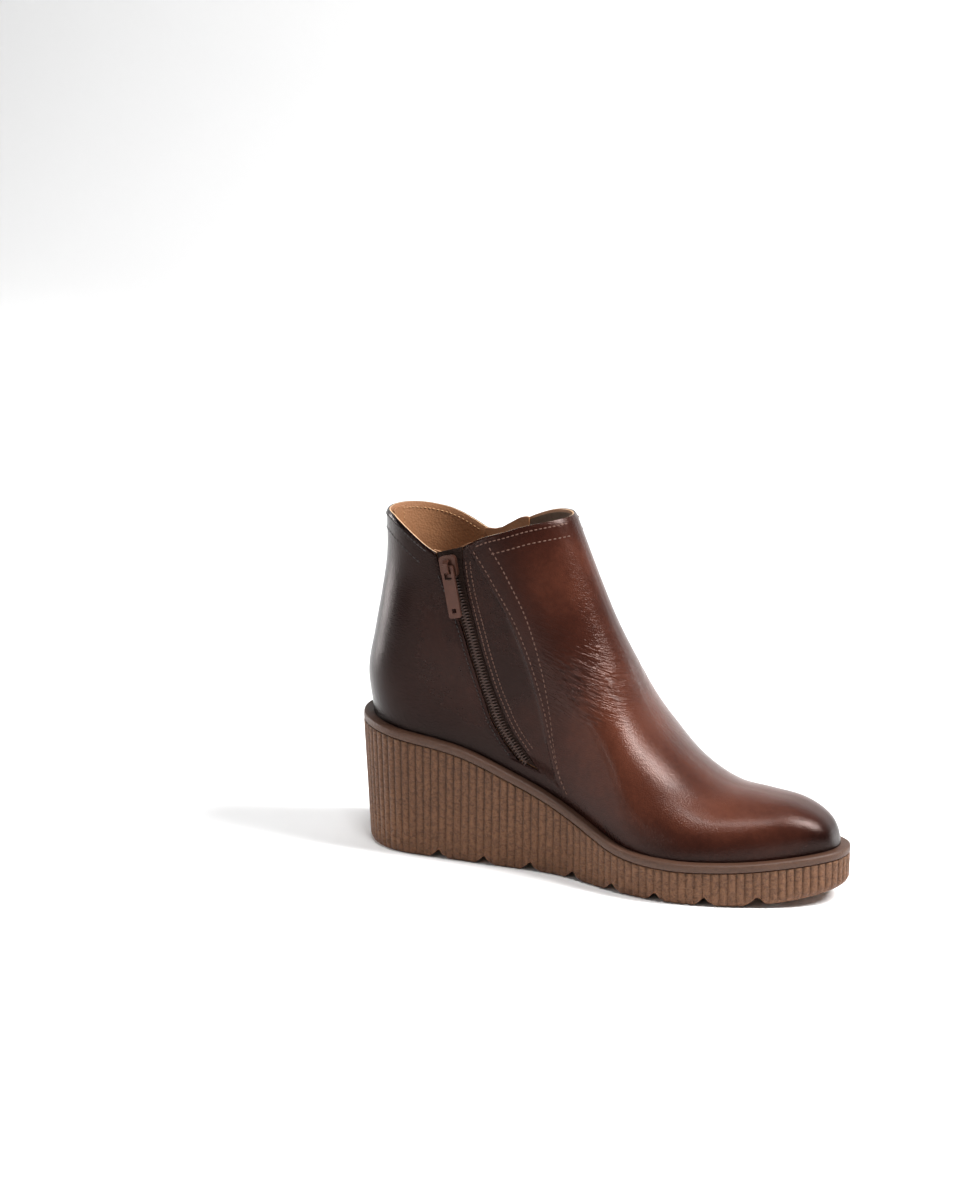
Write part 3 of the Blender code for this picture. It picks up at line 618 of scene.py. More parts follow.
def shade_of(side, x, z):
    """Burnish with painted highlights: 0 near black to 1 light reddish brown, as in the photo."""
    low = sole_top(x)
    rise = z - low
    s = x / LENGTH
    value = 0.34 + 0.26 * ease((s - 0.30) / 0.25)
    value -= 0.20 * ease((0.26 - s) / 0.20)
    # painted highlights: lighter patches where the sheen falls
    for strength, cx, cz, wide, tall in PAINTED_SHEEN_PATCHES:
        value += strength * np.exp(-(((x - cx) / wide) ** 2 + ((z - cz) / tall) ** 2))
    # dark burnish on the toe tip, along the sole and up the heel
    value -= 0.24 * ease((s - 0.92) / 0.06)
    value -= 0.22 * ease(1 - rise / 0.018)
    value -= 0.12 * ease((0.10 - s) / 0.08)
    value -= 0.16 * np.exp(-((z - collar(side, x)) / 0.008) ** 2) * (x < 0.06)
    return np.clip(value, 0.02, 1.0)


def crease_of(side, x, z):
    """Where the fine flex wrinkles show: a soft patch on the instep, fainter above it."""
    dx, dz = x - 0.128, z - 0.097
    along, off = dx * 0.92 - dz * 0.39, dx * 0.39 + dz * 0.92
    patch = np.exp(-(along / 0.019) ** 2 - (off / 0.013) ** 2)
    upper = 0.10 * np.exp(-((x - 0.112) / 0.026) ** 2 - ((z - 0.130) / 0.030) ** 2)
    return np.clip(patch + upper, 0, 1) * (1.0 if side == INNER else 0.3)


def height_shares(rows):
    return np.linspace(0, 1, rows + 1) ** 1.25


def side_grid(side, cells):
    rows, back, placket, front = cells
    share = height_shares(rows)
    lines = [back_line(share)] + [seam_line(side, k, share)[0] for k in range(3)]
    lines.append(front_line(side, share))
    parts = [
        np.linspace(0, 1, back + 1)[:-1] ** 1.3,
        np.array([0.0]),
        np.linspace(0, 0.965, placket),
        1 - (1 - np.linspace(0, 1, front + 1)) ** 1.45,
    ]
    blocks = [fill(side, lines[k], lines[k + 1], parts[k], share, k == 3) for k in range(4)]
    return np.concatenate([b[0] for b in blocks], 1), np.concatenate([b[1] for b in blocks], 1)


def normals_of(points):
    up = np.gradient(points, axis=0)
    wrapped = np.concatenate([points[:, -1:], points, points[:, :1]], 1)
    around = (wrapped[:, 2:] - wrapped[:, :-2]) / 2
    normal = np.cross(around, up)
    return normal / np.maximum(np.linalg.norm(normal, axis=2, keepdims=True), 1e-12)


def joined(inner, outer):
    """Two side grids as one ring of columns, from the heel round the toe and back."""
    return np.concatenate([inner, outer[:, -2:0:-1]], 1)


def placket_columns(cells, cols):
    _, back, wide, _ = cells
    placket = np.zeros(cols)
    placket[back + 1:back + 1 + wide] = 1
    placket[cols - back - wide:cols - back] = 1
    return placket


def rolled_edges(cells, cols):
    """Share of the drop in the columns beside the vamp's edge and the back edge of each slot."""
    _, back, wide, _ = cells
    drop = np.zeros(cols)
    vamp, slot = (0.35, 0.12, 0.03), (0.5, 0.2, 0.05)
    for first, way, shares in ((back + 1 + wide, 1, vamp), (cols - back - wide - 1, -1, vamp),
                               (back, -1, slot), (cols - back, 1, slot)):
        for k, share in enumerate(shares):
            drop[(first + way * k) % cols] += share
    return drop


def layer_faces(rows, cols, keep, faces_of):
    """Faces of a closed layer on a ring of cells; keep says which cells are there."""
    under = (rows + 1) * cols
    here = lambda r, c: r * cols + c % cols
    inside = lambda r, c: 0 <= r < rows and keep[r][c % cols]
    faces, index = [], []
    for r in range(rows):
        for c in range(cols):
            if not keep[r][c]:
                continue
            a, b, d, e = here(r, c), here(r, c + 1), here(r + 1, c + 1), here(r + 1, c)
            new = [((a, b, d, e), "out"), ((e + under, d + under, b + under, a + under), "in")]
            if not inside(r - 1, c):
                new.append(((b, a, a + under, b + under), "low"))
            if not inside(r + 1, c):
                new.append(((e, d, d + under, e + under), "rim" if r == rows - 1 else "cut"))
            if not inside(r, c - 1):
                new.append(((a, e, e + under, a + under), "cut"))
            if not inside(r, c + 1):
                new.append(((d, b, b + under, d + under), "cut"))
            for face, kind in new:
                if kind in faces_of:
                    faces.append(face)
                    index.append(faces_of[kind])
    return faces, index


def paint(obj, key, values):
    layer = obj.data.attributes.new(key, "FLOAT", "POINT")
    layer.data.foreach_set("value", values.astype(np.float32))


def wall(name, cells, depths, mats, faces_of, is_skin):
    """One layer of the upper between two depths; faces_of says which faces it shows."""
    rows, back, _, _ = cells
    share = height_shares(rows)
    grids = {side: side_grid(side, cells) for side in (INNER, OUTER)}
    around = lambda value: joined(*(value(side, *grids[side]) for side in (INNER, OUTER)))
    points = around(surface)
    cols = points.shape[1]
    normal = normals_of(points)
    placket = placket_columns(cells, cols)
    step = ease((share - SLOT_BOTTOM) / SLOT_BOTTOM)[:, None] * placket
    rim = np.clip((share - RIM_SHARE) / (1 - RIM_SHARE), 0, 1)[:, None]
    sunk = step * PLACKET_STEP
    if is_skin:
        sunk = sunk + around(folds) * (1 - placket) * ease(share / 0.02)[:, None]
        sunk = sunk + rolled_edges(cells, cols) * ROLL_DROP * (share > SLOT_BOTTOM)[:, None]
        sunk = sunk + rim ** 2 * RIM_DROP
    top = points - normal * (depths[0] + sunk)[..., None]
    low = points - normal * (depths[1] - (0 if is_skin else LINING_DROP) * rim ** 2)[..., None]
    for grid in (top, low):
        grid[0, :, 2] = sole_top(grid[0, :, 0] + LENGTH / 2) + GAP
    open_row = int(np.argmax(share >= height_shares(20)[2]))
    keep = np.ones((rows, cols), bool)
    for slot in (back, cols - 1 - back):
        keep[open_row:, slot] = False
    faces, index = layer_faces(rows, cols, keep, faces_of)
    verts = np.concatenate([top.reshape(-1, 3), low.reshape(-1, 3)])
    used = np.unique(np.concatenate([np.asarray(f) for f in faces]))
    new_of = np.full(len(verts), -1)
    new_of[used] = np.arange(len(used))
    obj = mesh_piece(name, verts[used], [tuple(int(new_of[v]) for v in f) for f in faces], mats, index)
    if is_skin:
        # the shade attribute holds the burnish with its painted highlights
        shade = around(shade_of) * (1 - 0.12 * step)
        crease = around(crease_of) * (1 - placket)
        for key, values in (("shade", shade), ("crease", crease)):
            paint(obj, key, np.concatenate([values.ravel(), values.ravel()])[used])
    obj.data.set_sharp_from_angle(angle=math.radians(50))
    return obj


def build_upper():
    middle = WALL * LEATHER_SHARE
    skin = wall("upper_leather", FINE, (0.0, middle), (LEATHER, EDGE),
                {"out": 0, "low": 1, "cut": 0, "rim": 0}, True)
    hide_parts("upper")
    inside = wall("upper_lining", COARSE, (middle, WALL), (LINING, BINDING),
                  {"in": 0, "low": 0, "cut": 0, "rim": 1}, False)
    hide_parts("upper")


build_upper()


# Stitches

# Pitches, then how far each row lies in from the edge that it follows
FINE_PITCH, PITCH, WIDE_PITCH = 0.0022, 0.0024, 0.0027
VAMP_ROW = 0.0022
VAMP_SPREAD = 0.0085
PLACKET_ROWS = (0.0016, 0.0040)
ZIP_BACK_ROW = 0.0018
FRONT_COLLAR_ROW, BACK_COLLAR_ROW, SECOND_COLLAR_ROW = 0.0028, 0.0020, 0.0090
LINING_ROW = 0.0030
# Rings of a stitch: place along it, thickness, drop into the leather
STITCH_RINGS = (
    (-0.5, 0.25, -0.75), (-0.32, 0.85, -0.1), (0.0, 1.0, 0.15), (0.32, 0.85, -0.1), (0.5, 0.25, -0.75),
)


def tube_faces(levels, steps, first=0):
    """Faces of a closed tube of rings, starting at the vertex first."""
    faces = []
    for i in range(levels - 1):
        for k in range(steps):
            m = (k + 1) % steps
            faces.append((i * steps + k, i * steps + m, (i + 1) * steps + m, (i + 1) * steps + k))
    faces.append(tuple(range(steps))[::-1])
    faces.append(tuple((levels - 1) * steps + k for k in range(steps)))
    return [tuple(first + v for v in face) for face in faces]


def capsule(steps=6):
    """Small stitch: rings along its length, its ends drawn down into the leather."""
    turns = [2 * math.pi * k / steps for k in range(steps)]
    verts = [(t, r * math.cos(turn), r * math.sin(turn) + drop)
             for t, r, drop in STITCH_RINGS for turn in turns]
    return np.array(verts), tube_faces(len(STITCH_RINGS), steps)


STITCH = capsule()


def stitch_mesh(name, frames, mat, long=0.0020, thick=0.00034, body="boot"):
    """One joined mesh of stitches; each frame is points, way, across and out."""
    shape, faces = STITCH
    verts, all_faces, base = [], [], 0
    for here, way, across, out in frames:
        for p, w, a, o in zip(here, way, across, out):
            verts.append(p + shape[:, :1] * long * w + shape[:, 1:2] * thick * a + shape[:, 2:] * thick * o)
            all_faces += [tuple(v + base for v in f) for f in faces]
            base += len(shape)
    return mesh_piece(name, np.concatenate(verts), all_faces, (mat,), body=body)


def row_on(side, x, z, pitch=WIDE_PITCH, lift=0.0, inward=False):
    """Stitch frames along a line in the side view."""
    fine = np.linspace(0, len(x) - 1, 400)
    fx, fz = np.interp(fine, np.arange(len(x)), x), np.interp(fine, np.arange(len(x)), z)
    at = even(surface(side, fx, fz), pitch)
    grid = np.arange(400)
    px, pz = np.interp(at, grid, fx), np.interp(at, grid, fz)
    here, way, across, out = along_line(side, px, pz)
    deep = folds(side, px, pz)[:, None]
    if inward:
        return here - out * (WALL - lift), way, across, -out
    return here + out * (lift - deep), way, across, out


def shifted(x, z, off):
    """A line in the side view moved sideways; positive is towards the toe or down."""
    dx, dz = np.gradient(x), np.gradient(z)
    size = np.hypot(dx, dz)
    return x + off * dz / size, z - off * dx / size


def seam_curve(side, which, low, high, off=0.0, count=60):
    share = np.linspace(low, high, count)
    return shifted(*seam_line(side, which, share), off)


def collar_curve(side, start, stop, down, count=80):
    x = np.linspace(start, stop, count)
    return shifted(x, collar(side, x), down)


def seam_top(side, which):
    """Where a side of the zip or the vamp's edge meets the collar."""
    return seam_line(side, which, np.array([1.0]))[0][0]


def collar_front(side):
    return front_line(side, np.array([1.0]))[0]


def build_stitches():
    rows, dark, tan = [], [], []
    for side in (INNER, OUTER):
        # the vamp edge: a row beside the edge and one further on
        rows.append(row_on(side, *seam_curve(side, VAMP_EDGE, 0.02, 0.955, VAMP_ROW)))
        rows.append(row_on(side, *vamp_row(side)))
        # two rows on the placket beside the zip
        for off in PLACKET_ROWS:
            rows.append(row_on(side, *seam_curve(side, ZIP_FRONT, 0.10, 0.93, off), FINE_PITCH, -PLACKET_STEP))
        # one row behind the zip
        dark.append(row_on(side, *seam_curve(side, ZIP_BACK, 0.07, 0.90, -ZIP_BACK_ROW), PITCH))
        # round the collar, in front of the zip and behind it, and inside
        top, end = seam_top(side, VAMP_EDGE), collar_front(side) - 0.0005
        rows.append(row_on(side, *collar_curve(side, top + 0.004, end, FRONT_COLLAR_ROW), PITCH))
        rows.append(row_on(side, *collar_curve(side, top + 0.0105, end + 0.0015, SECOND_COLLAR_ROW)))
        start = back_x(np.array([COLLAR_HEIGHT]))[0] + 0.0002
        stop = seam_top(side, ZIP_BACK) - 0.004
        dark.append(row_on(side, *collar_curve(side, start, stop, BACK_COLLAR_ROW), FINE_PITCH))
        dark.append(row_on(side, *collar_curve(side, start, stop, SECOND_COLLAR_ROW)))
        for first, last in ((start, stop), (top + 0.004, end - 0.004)):
            tan.append(row_on(side, *collar_curve(side, first, last, LINING_ROW), PITCH, inward=True))
    stitch_mesh("stitches_vamp", rows, THREAD)
    stitch_mesh("stitches_quarter", dark, THREAD_DARK)
    stitch_mesh("stitches_lining", tan, THREAD_TAN, 0.0018, 0.0003)


def vamp_row(side):
    """The second row on the vamp: it leaves the collar row and nears the edge at the sole."""
    share = np.linspace(0.02, 0.925, 60)
    x, z = seam_line(side, VAMP_EDGE, share)
    off = VAMP_ROW + VAMP_SPREAD * ease(share / 0.9) ** 0.8
    return shifted(x, z, off)


build_stitches()


# Zips

# One element of each chain, in mm: across, out, thickness share
COIL_SPINE = ((-2.4, -0.55, 0.5), (-1.5, 0.25, 0.9), (0.0, 0.40, 1.0), (0.9, 0.10, 0.85), (1.2, -0.5, 0.4))
TOOTH_SPINE = ((-2.5, -0.2, 0.75), (-2.3, 0.2, 0.95), (0.0, 0.35, 0.95), (1.1, 0.2, 0.9), (1.3, -0.2, 0.6))
# Pitch, thickness, slant along the zip and height share of an element
COIL_SHAPE = (0.00078, 0.00042, 0.00025, 1.0)
TOOTH_SHAPE = (0.00105, 0.00058, 0.0, 0.75)


def zip_middle(side, share):
    xa, za = seam_line(side, ZIP_BACK, share)
    xb, zb = seam_line(side, ZIP_FRONT, share)
    return (xa + xb) / 2, (za + zb) / 2


def chain_frames(side, pitch):
    share = np.linspace(*CHAIN_SHARES, 300)
    x, z = zip_middle(side, share)
    at = even(surface(side, x, z), pitch)
    grid = np.arange(300)
    return along_line(side, np.interp(at, grid, x), np.interp(at, grid, z))


def build_chain(side, name, spine, shape, mat, ring=6):
    """Fine coil or metal teeth: one element to each side in turn, joined as one mesh."""
    pitch, thick, slant, tall = shape
    here, way, across, out = chain_frames(side, pitch)
    turns = [2 * math.pi * (k + 0.5) / ring for k in range(ring)]
    verts, faces = [], []
    for i in range(len(here)):
        turn = 1 if i % 2 else -1
        faces += tube_faces(len(spine), ring, len(verts))
        for a, h, r in spine:
            centre = here[i] + across[i] * a * turn * MM + out[i] * (h * MM - 0.0002)
            centre = centre + way[i] * (slant * a)
            high = thick * r * tall
            verts += [centre + way[i] * thick * 0.8 * r * math.cos(t) + out[i] * high * math.sin(t)
                      for t in turns]
    obj = mesh_piece(name + "_fine", verts, faces, (mat,))
    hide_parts(name)


build_chain(INNER, "zip_coil_inner", COIL_SPINE, COIL_SHAPE, COIL)
build_chain(OUTER, "zip_teeth_outer", TOOTH_SPINE, TOOTH_SHAPE, TEETH)


# The sole

POINTS_PER_RIB = 10
SIDE_LEVELS = 9
# Rings of the lower edge: depth share, bevel, height in bevels, ribs
EDGE_RINGS = (
    (1.00, EDGE_BEVEL, 0.0, 0.3),
    (0.99, EDGE_BEVEL * 0.42, 0.30, 0.6),
    (0.97, 0.0, 1.0, 1.0),
)


def rib_loop(side_x, side_y, ribs):
    """Points along one side's edge with round-topped ribs between narrow grooves."""
    run = run_along(side_x, side_y)
    share = np.linspace(0, 1, ribs * POINTS_PER_RIB + 1)
    at = share * run[-1]
    phase = (share * ribs) % 1.0
    profile = 1 - np.sin(np.pi * phase) ** 0.75
    dx, dy = np.gradient(side_x), np.gradient(side_y)
    size = np.hypot(dx, dy)
    px, py = np.interp(at, run, side_x), np.interp(at, run, side_y)
    nx, ny = np.interp(at, run, dy / size), np.interp(at, run, -dx / size)
    nx[0], ny[0], nx[-1], ny[-1] = 1, 0, -1, 0
    return px, py, nx, ny, profile * RIB_DEPTH


def round_loop(inner, outer):
    """Inner then outer edge as one loop, from the heel round the toe and back."""
    return np.concatenate([inner, outer[-2:0:-1]])


def stack_faces(levels, count):
    """Side faces between stacked loops of points, then the cap below and the cap above."""
    faces = []
    for k in range(levels - 1):
        for i in range(count):
            j = (i + 1) % count
            faces.append((k * count + i, k * count + j, (k + 1) * count + j, (k + 1) * count + i))
    for base, turn in ((0, 1), ((levels - 1) * count, -1)):
        for i in range(count // 2):
            quad = [i, i + 1, count - i - 1, (count - i) % count]
            quad = [base + v for k, v in enumerate(quad) if v not in quad[:k]]
            faces.append(tuple(quad[::turn]))
    return faces


def toe_lift(x):
    return TOE_SPRING * np.clip((x / LENGTH - 0.78) / 0.22, 0, 1) ** 2


def sole_rings(x0, y0, nx, ny, cut):
    """Loops of the wedge from its lower edge to the band."""
    def ring(depth, bevel, height, ribbed):
        x = x0 + nx * cut * ribbed
        y = y0 + ny * cut * ribbed
        back = np.clip(1 - x / (0.3 * LENGTH), 0, 1) ** 2
        middle = (x / LENGTH - 0.5) * 2
        x = x + BACK_TAPER * back * depth - bevel * np.sign(middle) * np.abs(middle) ** 6
        drawn = SIDE_TAPER * depth + 0.8 * bevel
        y = y * (1 - drawn / np.maximum(np.abs(y), HALF_HEEL))
        return place(x, y + skew(x), height(x))

    top = lambda x: sole_top(x) - BAND - GAP
    rings = [ring(depth, bevel, lambda x, h=high: toe_lift(x) + EDGE_BEVEL * h, ribbed)
             for depth, bevel, high, ribbed in EDGE_RINGS]
    for k in range(1, SIDE_LEVELS + 1):
        t = k / SIDE_LEVELS
        height = lambda x, t=t: (toe_lift(x) + EDGE_BEVEL) * (1 - t) + (top(x) - 0.0004) * t
        rings.append(ring(0.97 * (1 - t), 0.0, height, 1.0))
    rings.append(ring(0.0, 0.0003, top, 1.0))
    return rings


def cut_grooves(obj):
    cutter = groove_cutter()
    mod = obj.modifiers.new("grooves", "BOOLEAN")
    mod.operation = "DIFFERENCE"
    mod.solver = "EXACT"
    mod.object = cutter
    bpy.context.view_layer.update()
    graph = bpy.context.evaluated_depsgraph_get()
    mesh = bpy.data.meshes.new_from_object(obj.evaluated_get(graph))
    obj.modifiers.clear()
    obj.data = mesh
    bpy.data.objects.remove(cutter)


def build_sole():
    outline = {side: inset_line(side, 0.0, 900) for side in (INNER, OUTER)}
    length = np.mean([np.hypot(np.diff(x), np.diff(y)).sum() for x, y in outline.values()])
    ribs = int(round(length / RIB_PITCH))
    inner, outer = (rib_loop(*outline[side], ribs) for side in (INNER, OUTER))
    flips = (1, -1, 1, -1, 1)
    loops = [round_loop(flip * a, b) for flip, a, b in zip(flips, inner, outer)]
    rings = sole_rings(*loops)
    verts, cut = np.concatenate(rings), loops[-1]
    obj = mesh_piece("outsole_ribbed", verts, stack_faces(len(rings), len(cut)), (GUM,))
    z = verts[:, 2]
    # painted shade: darker in the rib grooves, less near the bottom edge, and darker towards the top
    groove_shade_top_dark = np.tile(np.clip(cut / RIB_DEPTH, 0, 1) ** 1.5 * 0.75, len(rings))
    groove_shade_top_dark *= 0.35 + 0.65 * np.clip((z - 0.004) / 0.02, 0, 1)
    paint(obj, "groove_shade_top_dark", np.clip(groove_shade_top_dark + 0.22 * np.clip(z / HEEL_HEIGHT, 0, 1) ** 1.3, 0, 1))
    cut_grooves(obj)
    obj.data.set_sharp_from_angle(angle=math.radians(55))
    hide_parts("outsole")


# Half of a groove's outline in half widths and depths, from its mouth to its roof
GROOVE_ROWS = ((-1.50, -0.25), (-0.98, 0.10), (-0.70, 0.32), (-0.44, 0.56), (-0.26, 0.84), (-0.12, 0.98))


def groove_cutter():
    """All grooves across the underside as one mesh of separate prisms."""
    profile = GROOVE_ROWS + tuple((-u, h) for u, h in GROOVE_ROWS[::-1])
    reach = HALF_BALL * 1.4
    verts, faces = [], []
    for k in range(GROOVES):
        middle = GROOVE_FIRST + GROOVE_PITCH * k
        base = float(toe_lift(np.array(middle)))
        ring = [(middle + GROOVE_HALF * u, base + GROOVE_DEPTH * h) for u, h in profile]
        faces += tube_faces(2, len(ring), len(verts))
        verts += [place(x, y, z) for y in (-reach, reach) for x, z in ring]
    return mesh_piece("groove_cutter", verts, faces, (GUM,), soft=False, body=None)


# Loops of the rand: inset, height below the ledge; the last three bands are its dark top
RAND_RINGS = (
    (0.0008, -BAND), (0.0002, -BAND + 0.0003), (0.0, -BAND + 0.0008), (0.0, -0.0012),
    (0.0002, -0.0005), (0.0008, -0.0001), (0.0014, 0.0), (0.0060, 0.0),
)
RAND_TOP_BANDS = 3


def build_rand():
    """The smooth band with its rounded edges and darker top."""
    sides = []
    for side, flip in ((INNER, -1), (OUTER, 1)):
        x, y = inset_line(side, 0.0, 900)
        run = run_along(x, y)
        at = np.linspace(0, run[-1], 260)
        sides.append((np.interp(at, run, x), flip * np.interp(at, run, y)))
    x, y = (round_loop(a, b) for a, b in zip(*sides))
    count = len(x)
    dx = np.roll(x, -1) - np.roll(x, 1)
    dy = np.roll(y, -1) - np.roll(y, 1)
    size = np.hypot(dx, dy)
    ix, iy = -dy / size, dx / size
    levels = []
    for inset, height in RAND_RINGS:
        px, py = x + ix * inset, y + iy * inset
        levels.append(place(px, py + skew(px), sole_top(px) + height))
    side_bands = len(levels) - 1 - RAND_TOP_BANDS
    cap = count // 2
    mats = [0] * (side_bands * count) + [1] * (RAND_TOP_BANDS * count) + [0] * cap + [1] * cap
    faces = stack_faces(len(levels), count)
    obj = mesh_piece("rand_band", np.concatenate(levels), faces, (RAND, RIM_TOP), mats)
    obj.data.set_sharp_from_angle(angle=math.radians(60))
    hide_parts("midsole")


build_sole()
build_rand()


# Inside: zip guards, the ribbed facing and the back strip

def sheet_between(name, mat, front, back):
    """A thin closed strip between two matching grids of points."""
    rows, cols = front.shape[:2]
    under = rows * cols
    faces = []
    for r in range(rows - 1):
        for c in range(cols - 1):
            a, b, d, e = r * cols + c, r * cols + c + 1, (r + 1) * cols + c + 1, (r + 1) * cols + c
            faces += [(a, b, d, e), (e + under, d + under, b + under, a + under)]
    edge = list(range(cols)) + [r * cols + cols - 1 for r in range(1, rows)]
    edge += [(rows - 1) * cols + c for c in range(cols - 2, -1, -1)]
    edge += [r * cols for r in range(rows - 2, 0, -1)]
    for k, v in enumerate(edge):
        w = edge[(k + 1) % len(edge)]
        faces.append((w, v, v + under, w + under))
    verts = np.concatenate([front.reshape(-1, 3), back.reshape(-1, 3)])
    obj = mesh_piece(name, verts, faces, (mat,))
    obj.data.set_sharp_from_angle(angle=math.radians(50))


# How far a guard reaches behind and ahead of the slot, and how far its top arches up
GUARD_BACK = 0.0022
GUARD_AHEAD = {INNER: 0.004, OUTER: 0.0085}
GUARD_ARCH = {INNER: 0.0012, OUTER: 0.0030}
# Depth below the lining and thickness of the strips inside
GUARD_LAYER = (WALL + 0.0005, 0.0012)
FACING_LAYER = (WALL + 0.0001, 0.0005)


def inside_strip(name, mat, side, x, z, layer):
    near, thick = layer
    here, _, _, out = surface_frame(side, x, z)
    sheet_between(name, mat, here - out * near, here - out * (near + thick))


def build_inside():
    across = np.linspace(0, 1, 15)
    share = np.linspace(0.16, 1.0, 40)
    for side, word in ((INNER, "inner"), (OUTER, "outer")):
        xa = seam_line(side, ZIP_BACK, share)[0]
        xb = seam_line(side, ZIP_FRONT, share)[0]
        x = (xa - GUARD_BACK)[:, None] + (xb - xa + GUARD_BACK + GUARD_AHEAD[side])[:, None] * across
        low = sole_top(x)
        z = low + share[:, None] * (collar(side, x) - low)
        z = z + GUARD_ARCH[side] * np.clip((share[:, None] - 0.8) / 0.2, 0, 1) * np.sin(np.pi * across) ** 0.7
        inside_strip("zip_guard_" + word, LINING, side, x, z, GUARD_LAYER)
        x = np.linspace(seam_top(side, VAMP_EDGE) + 0.004, collar_front(side) - 0.0030, 50) * np.ones((6, 1))
        z = collar(side, x) - np.linspace(0.0075, 0.0014, 6)[:, None]
        inside_strip("facing_" + word, ELASTIC, side, x, z, FACING_LAYER)
    build_back_strip()


def build_back_strip():
    """A narrow strip of lining over the back seam, with its two rows of stitches."""
    heights = np.linspace(HEEL_HEIGHT + 0.004, COLLAR_HEIGHT - 0.0016, 40)
    offsets = np.linspace(-0.0075, 0.0075, 17)
    depth = WALL + 0.00015
    span = np.linspace(0, 0.02, 160)
    rows = []
    for z in heights:
        row = []
        for side, part in ((INNER, offsets[offsets < 0]), (OUTER, offsets[offsets >= 0])):
            level = np.full(len(span), z)
            x = back_x(level) + span
            y = half_width(side, x, level) - depth
            row.append(np.stack([np.interp(np.abs(part), y, x + depth * 0.9), part], 1))
        row = np.concatenate(row)
        rows.append(place(row[:, 0], row[:, 1], np.full(len(row), z + GAP)))
    grid = np.array(rows)
    out = unit(np.cross(np.gradient(grid, axis=1), np.gradient(grid, axis=0)))
    inward = np.where(out[..., :1] > 0, out, -out)
    sheet_between("back_strip", LINING, grid + inward * 0.0003, grid + inward * 0.0010)
    frames = []
    for col in (2, len(offsets) - 3):
        line = grid[:, col] + inward[:, col] * 0.0010
        at = even(line, 0.0026)
        steps = np.arange(len(line))
        pick = lambda values: np.stack([np.interp(at, steps, values[:, k]) for k in range(3)], 1)
        here, lift = pick(line), pick(inward[:, col])
        along = unit(np.gradient(here, axis=0))
        frames.append((here, along, np.cross(lift, along), lift))
    stitch_mesh("stitches_back_strip", frames, THREAD_TAN, 0.0018, 0.0003)


build_inside()


# Stitches of the long pull, in the strap's own directions

STRAP_ROW = 0.0023
STRAP_FACE = 0.0013
STRAP_END = 0.0022


def build_pull_stitches():
    """Rows beside both edges of the strap and across its end, on both of its faces."""
    low, high = (np.array(v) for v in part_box("zip_pull_outer"))
    verts = np.array([v.co[:] for v in NODES["zip_pull_outer"].data.vertices])
    down = np.linalg.svd(verts - verts.mean(0), full_matrices=False)[2][0]
    down *= -np.sign(down[2])
    wide = np.array([1.0, 0.0, 0.0])
    out = np.cross(wide, down)
    out *= np.sign(out[1])
    run = (verts - (low + high) / 2) @ down
    bottom = verts[run > run.max() - 0.001].mean(0)
    at = np.arange(STRAP_END, 0.054, 0.0026)[:, None]
    frames = []
    for across in (-STRAP_ROW, STRAP_ROW):
        for face in (-1, 1):
            ones = np.ones((len(at), 1))
            here = bottom - down * at + wide * across + out * face * STRAP_FACE
            frames.append((here, ones * down, ones * wide, ones * out * face))
    ones = np.ones((2, 1))
    xs = np.array([[-0.0012], [0.0012]])
    for face in (-1, 1):
        here = bottom - down * STRAP_END + wide * xs + out * face * STRAP_FACE
        frames.append((here, ones * wide, ones * down, ones * out * face))
    obj = stitch_mesh("stitches_pull", frames, THREAD, 0.0019, 0.00030, body="outer_pull")


build_pull_stitches()


# Carried-over nodes get their materials and softened edges

def dress(name, mat, bevel=0.0):
    obj = NODES[name]
    obj.data.materials.clear()
    obj.data.materials.append(mat)
    if bevel:
        mod = obj.modifiers.new("soft_edges", "BEVEL")
        mod.width = bevel
        mod.segments = 2
        mod.limit_method = "ANGLE"
        mod.angle_limit = math.radians(35)
        mod.harden_normals = False


dress("insole", LINING)
dress("zip_tape_inner", TAPE)
dress("zip_tape_outer", TAPE)
dress("zip_slider_inner", BROWN, 0.00035)
dress("zip_tab_inner", BROWN, 0.00025)
dress("zip_slider_outer", GOLD, 0.00035)
dress("zip_ring_outer", SILVER)
dress("zip_pull_outer", STRAP, 0.0004)


# Stage, light and camera

# The sweep: near edge, where it bends up, radius of the bend, height and half width
FLOOR_NEAR, BEND_AT, BEND_RADIUS, SWEEP_TOP, SWEEP_HALF = -3.0, 1.2, 0.6, 2.4, 4.0
# The camera, fitted to the photo: angles in radians, distance and aim in metres, focal length in pixels
AZIMUTH, ELEVATION, ROLL = 0.408, 0.258, 0.023
DISTANCE = 2.378
AIM = (0.1024 - LENGTH / 2, -0.0950 - Y_MIDDLE, 0.1556)
FOCAL_PIXELS = 4911
PHOTO_HEIGHT = 1200
SENSOR = 36


def build_stage():
    n = Nodes("floor", 0.6)
    n.colour((0.97, 0.97, 0.97))
    profile = [(FLOOR_NEAR, 0.0), (BEND_AT / 2, 0.0), (BEND_AT, 0.0)]
    for k in range(1, 13):
        t = math.radians(90 * k / 12)
        profile.append((BEND_AT + BEND_RADIUS * math.sin(t), BEND_RADIUS * (1 - math.cos(t))))
    profile.append((BEND_AT + BEND_RADIUS, SWEEP_TOP))
    verts = [(x, y, z) for x in (-SWEEP_HALF, SWEEP_HALF) for y, z in profile]
    count = len(profile)
    faces = [(i, i + 1, count + i + 1, count + i) for i in range(count - 1)]
    mesh_piece("floor", verts, faces, (n.mat,), body=None)


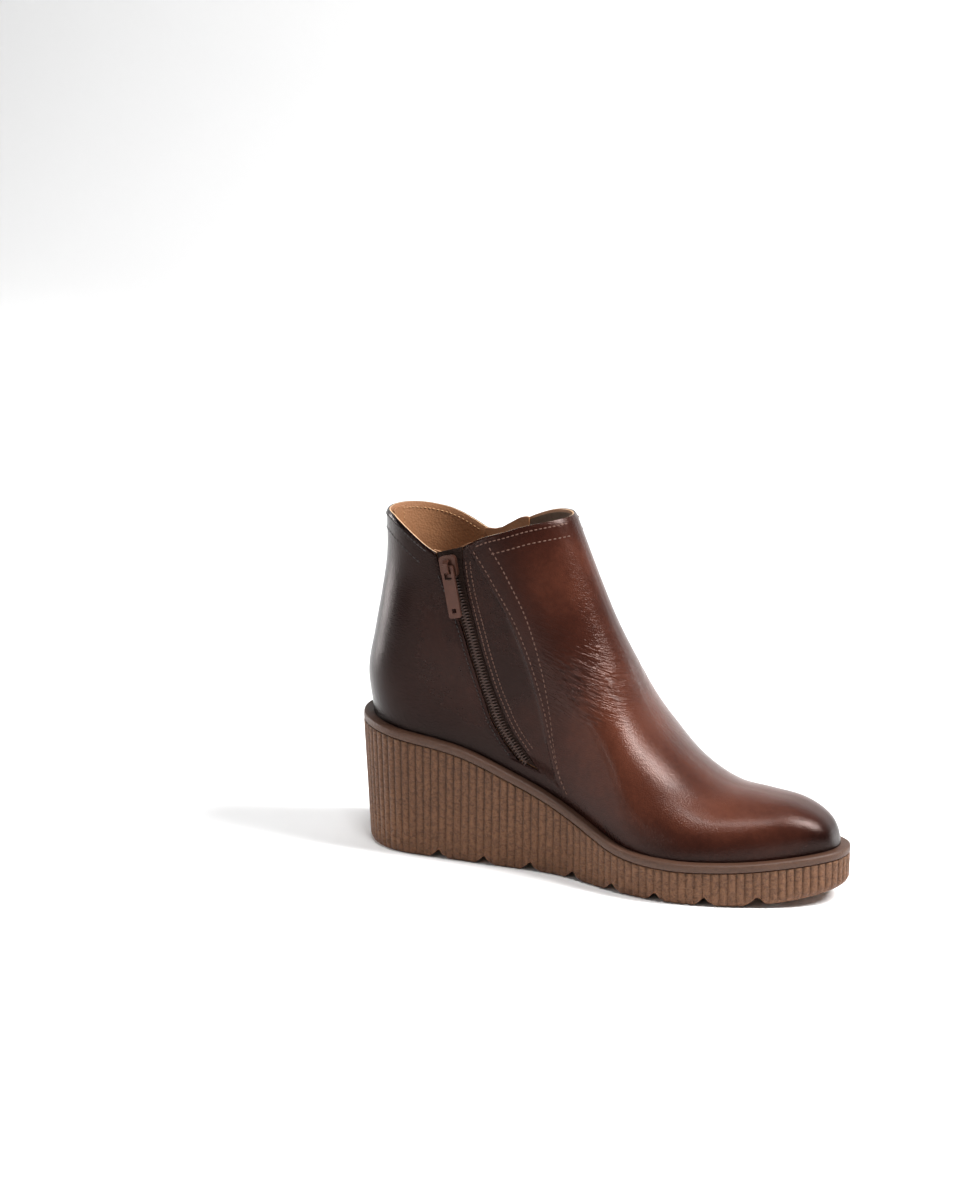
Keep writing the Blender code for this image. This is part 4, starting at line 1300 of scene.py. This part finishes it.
def area(name, where, aim, size, power):
    data = bpy.data.lights.new(name, "AREA")
    data.shape = "RECTANGLE"
    data.size, data.size_y = size
    data.energy = power
    obj = bpy.data.objects.new(name, data)
    obj.location = where
    obj.rotation_euler = (Vector(aim) - Vector(where)).to_track_quat("-Z", "Y").to_euler()
    bpy.context.scene.collection.objects.link(obj)


def build_world():
    world = bpy.data.worlds.new("world")
    world.use_nodes = True
    world.node_tree.nodes["Background"].inputs["Color"].default_value = (1, 1, 1, 1)
    world.node_tree.nodes["Background"].inputs["Strength"].default_value = 0.16
    bpy.context.scene.world = world
    bpy.context.scene.view_settings.view_transform = "Standard"


def build_camera():
    level = math.cos(ELEVATION)
    forward = Vector((-math.sin(AZIMUTH) * level, math.cos(AZIMUTH) * level, -math.sin(ELEVATION)))
    right = Vector((math.cos(AZIMUTH), math.sin(AZIMUTH), 0))
    up = right.cross(forward)
    right, up = (right * math.cos(ROLL) + up * math.sin(ROLL),
                 up * math.cos(ROLL) - right * math.sin(ROLL))
    data = bpy.data.cameras.new("camera")
    data.sensor_width = SENSOR
    data.lens = FOCAL_PIXELS / PHOTO_HEIGHT * SENSOR
    data.clip_start, data.clip_end = 0.05, 50
    obj = bpy.data.objects.new("camera", data)
    turned = Matrix((right, up, -forward)).transposed().to_4x4()
    obj.matrix_world = Matrix.Translation(Vector(AIM) - forward * DISTANCE) @ turned
    bpy.context.scene.collection.objects.link(obj)
    bpy.context.scene.camera = obj


build_stage()
area("over", (0.10, -0.42, 1.5), (0.03, 0, 0.08), (0.40, 0.26), 11)
area("side_right", (1.00, 0.16, 1.36), (0.03, -0.02, 0.07), (0.40, 0.90), 58)
area("front_left", (-1.1, -1.9, 0.62), (-0.03, 0, 0.08), (0.36, 0.36), 7)
area("left", (-1.45, 0.14, 0.24), (-0.1, 0, 0.12), (0.40, 0.42), 12)
area("wide", (0.2, 0.6, 2.2), (0, 0, 0), (1.4, 1.0), 5)
build_world()
build_camera()

bpy.context.view_layer.update()
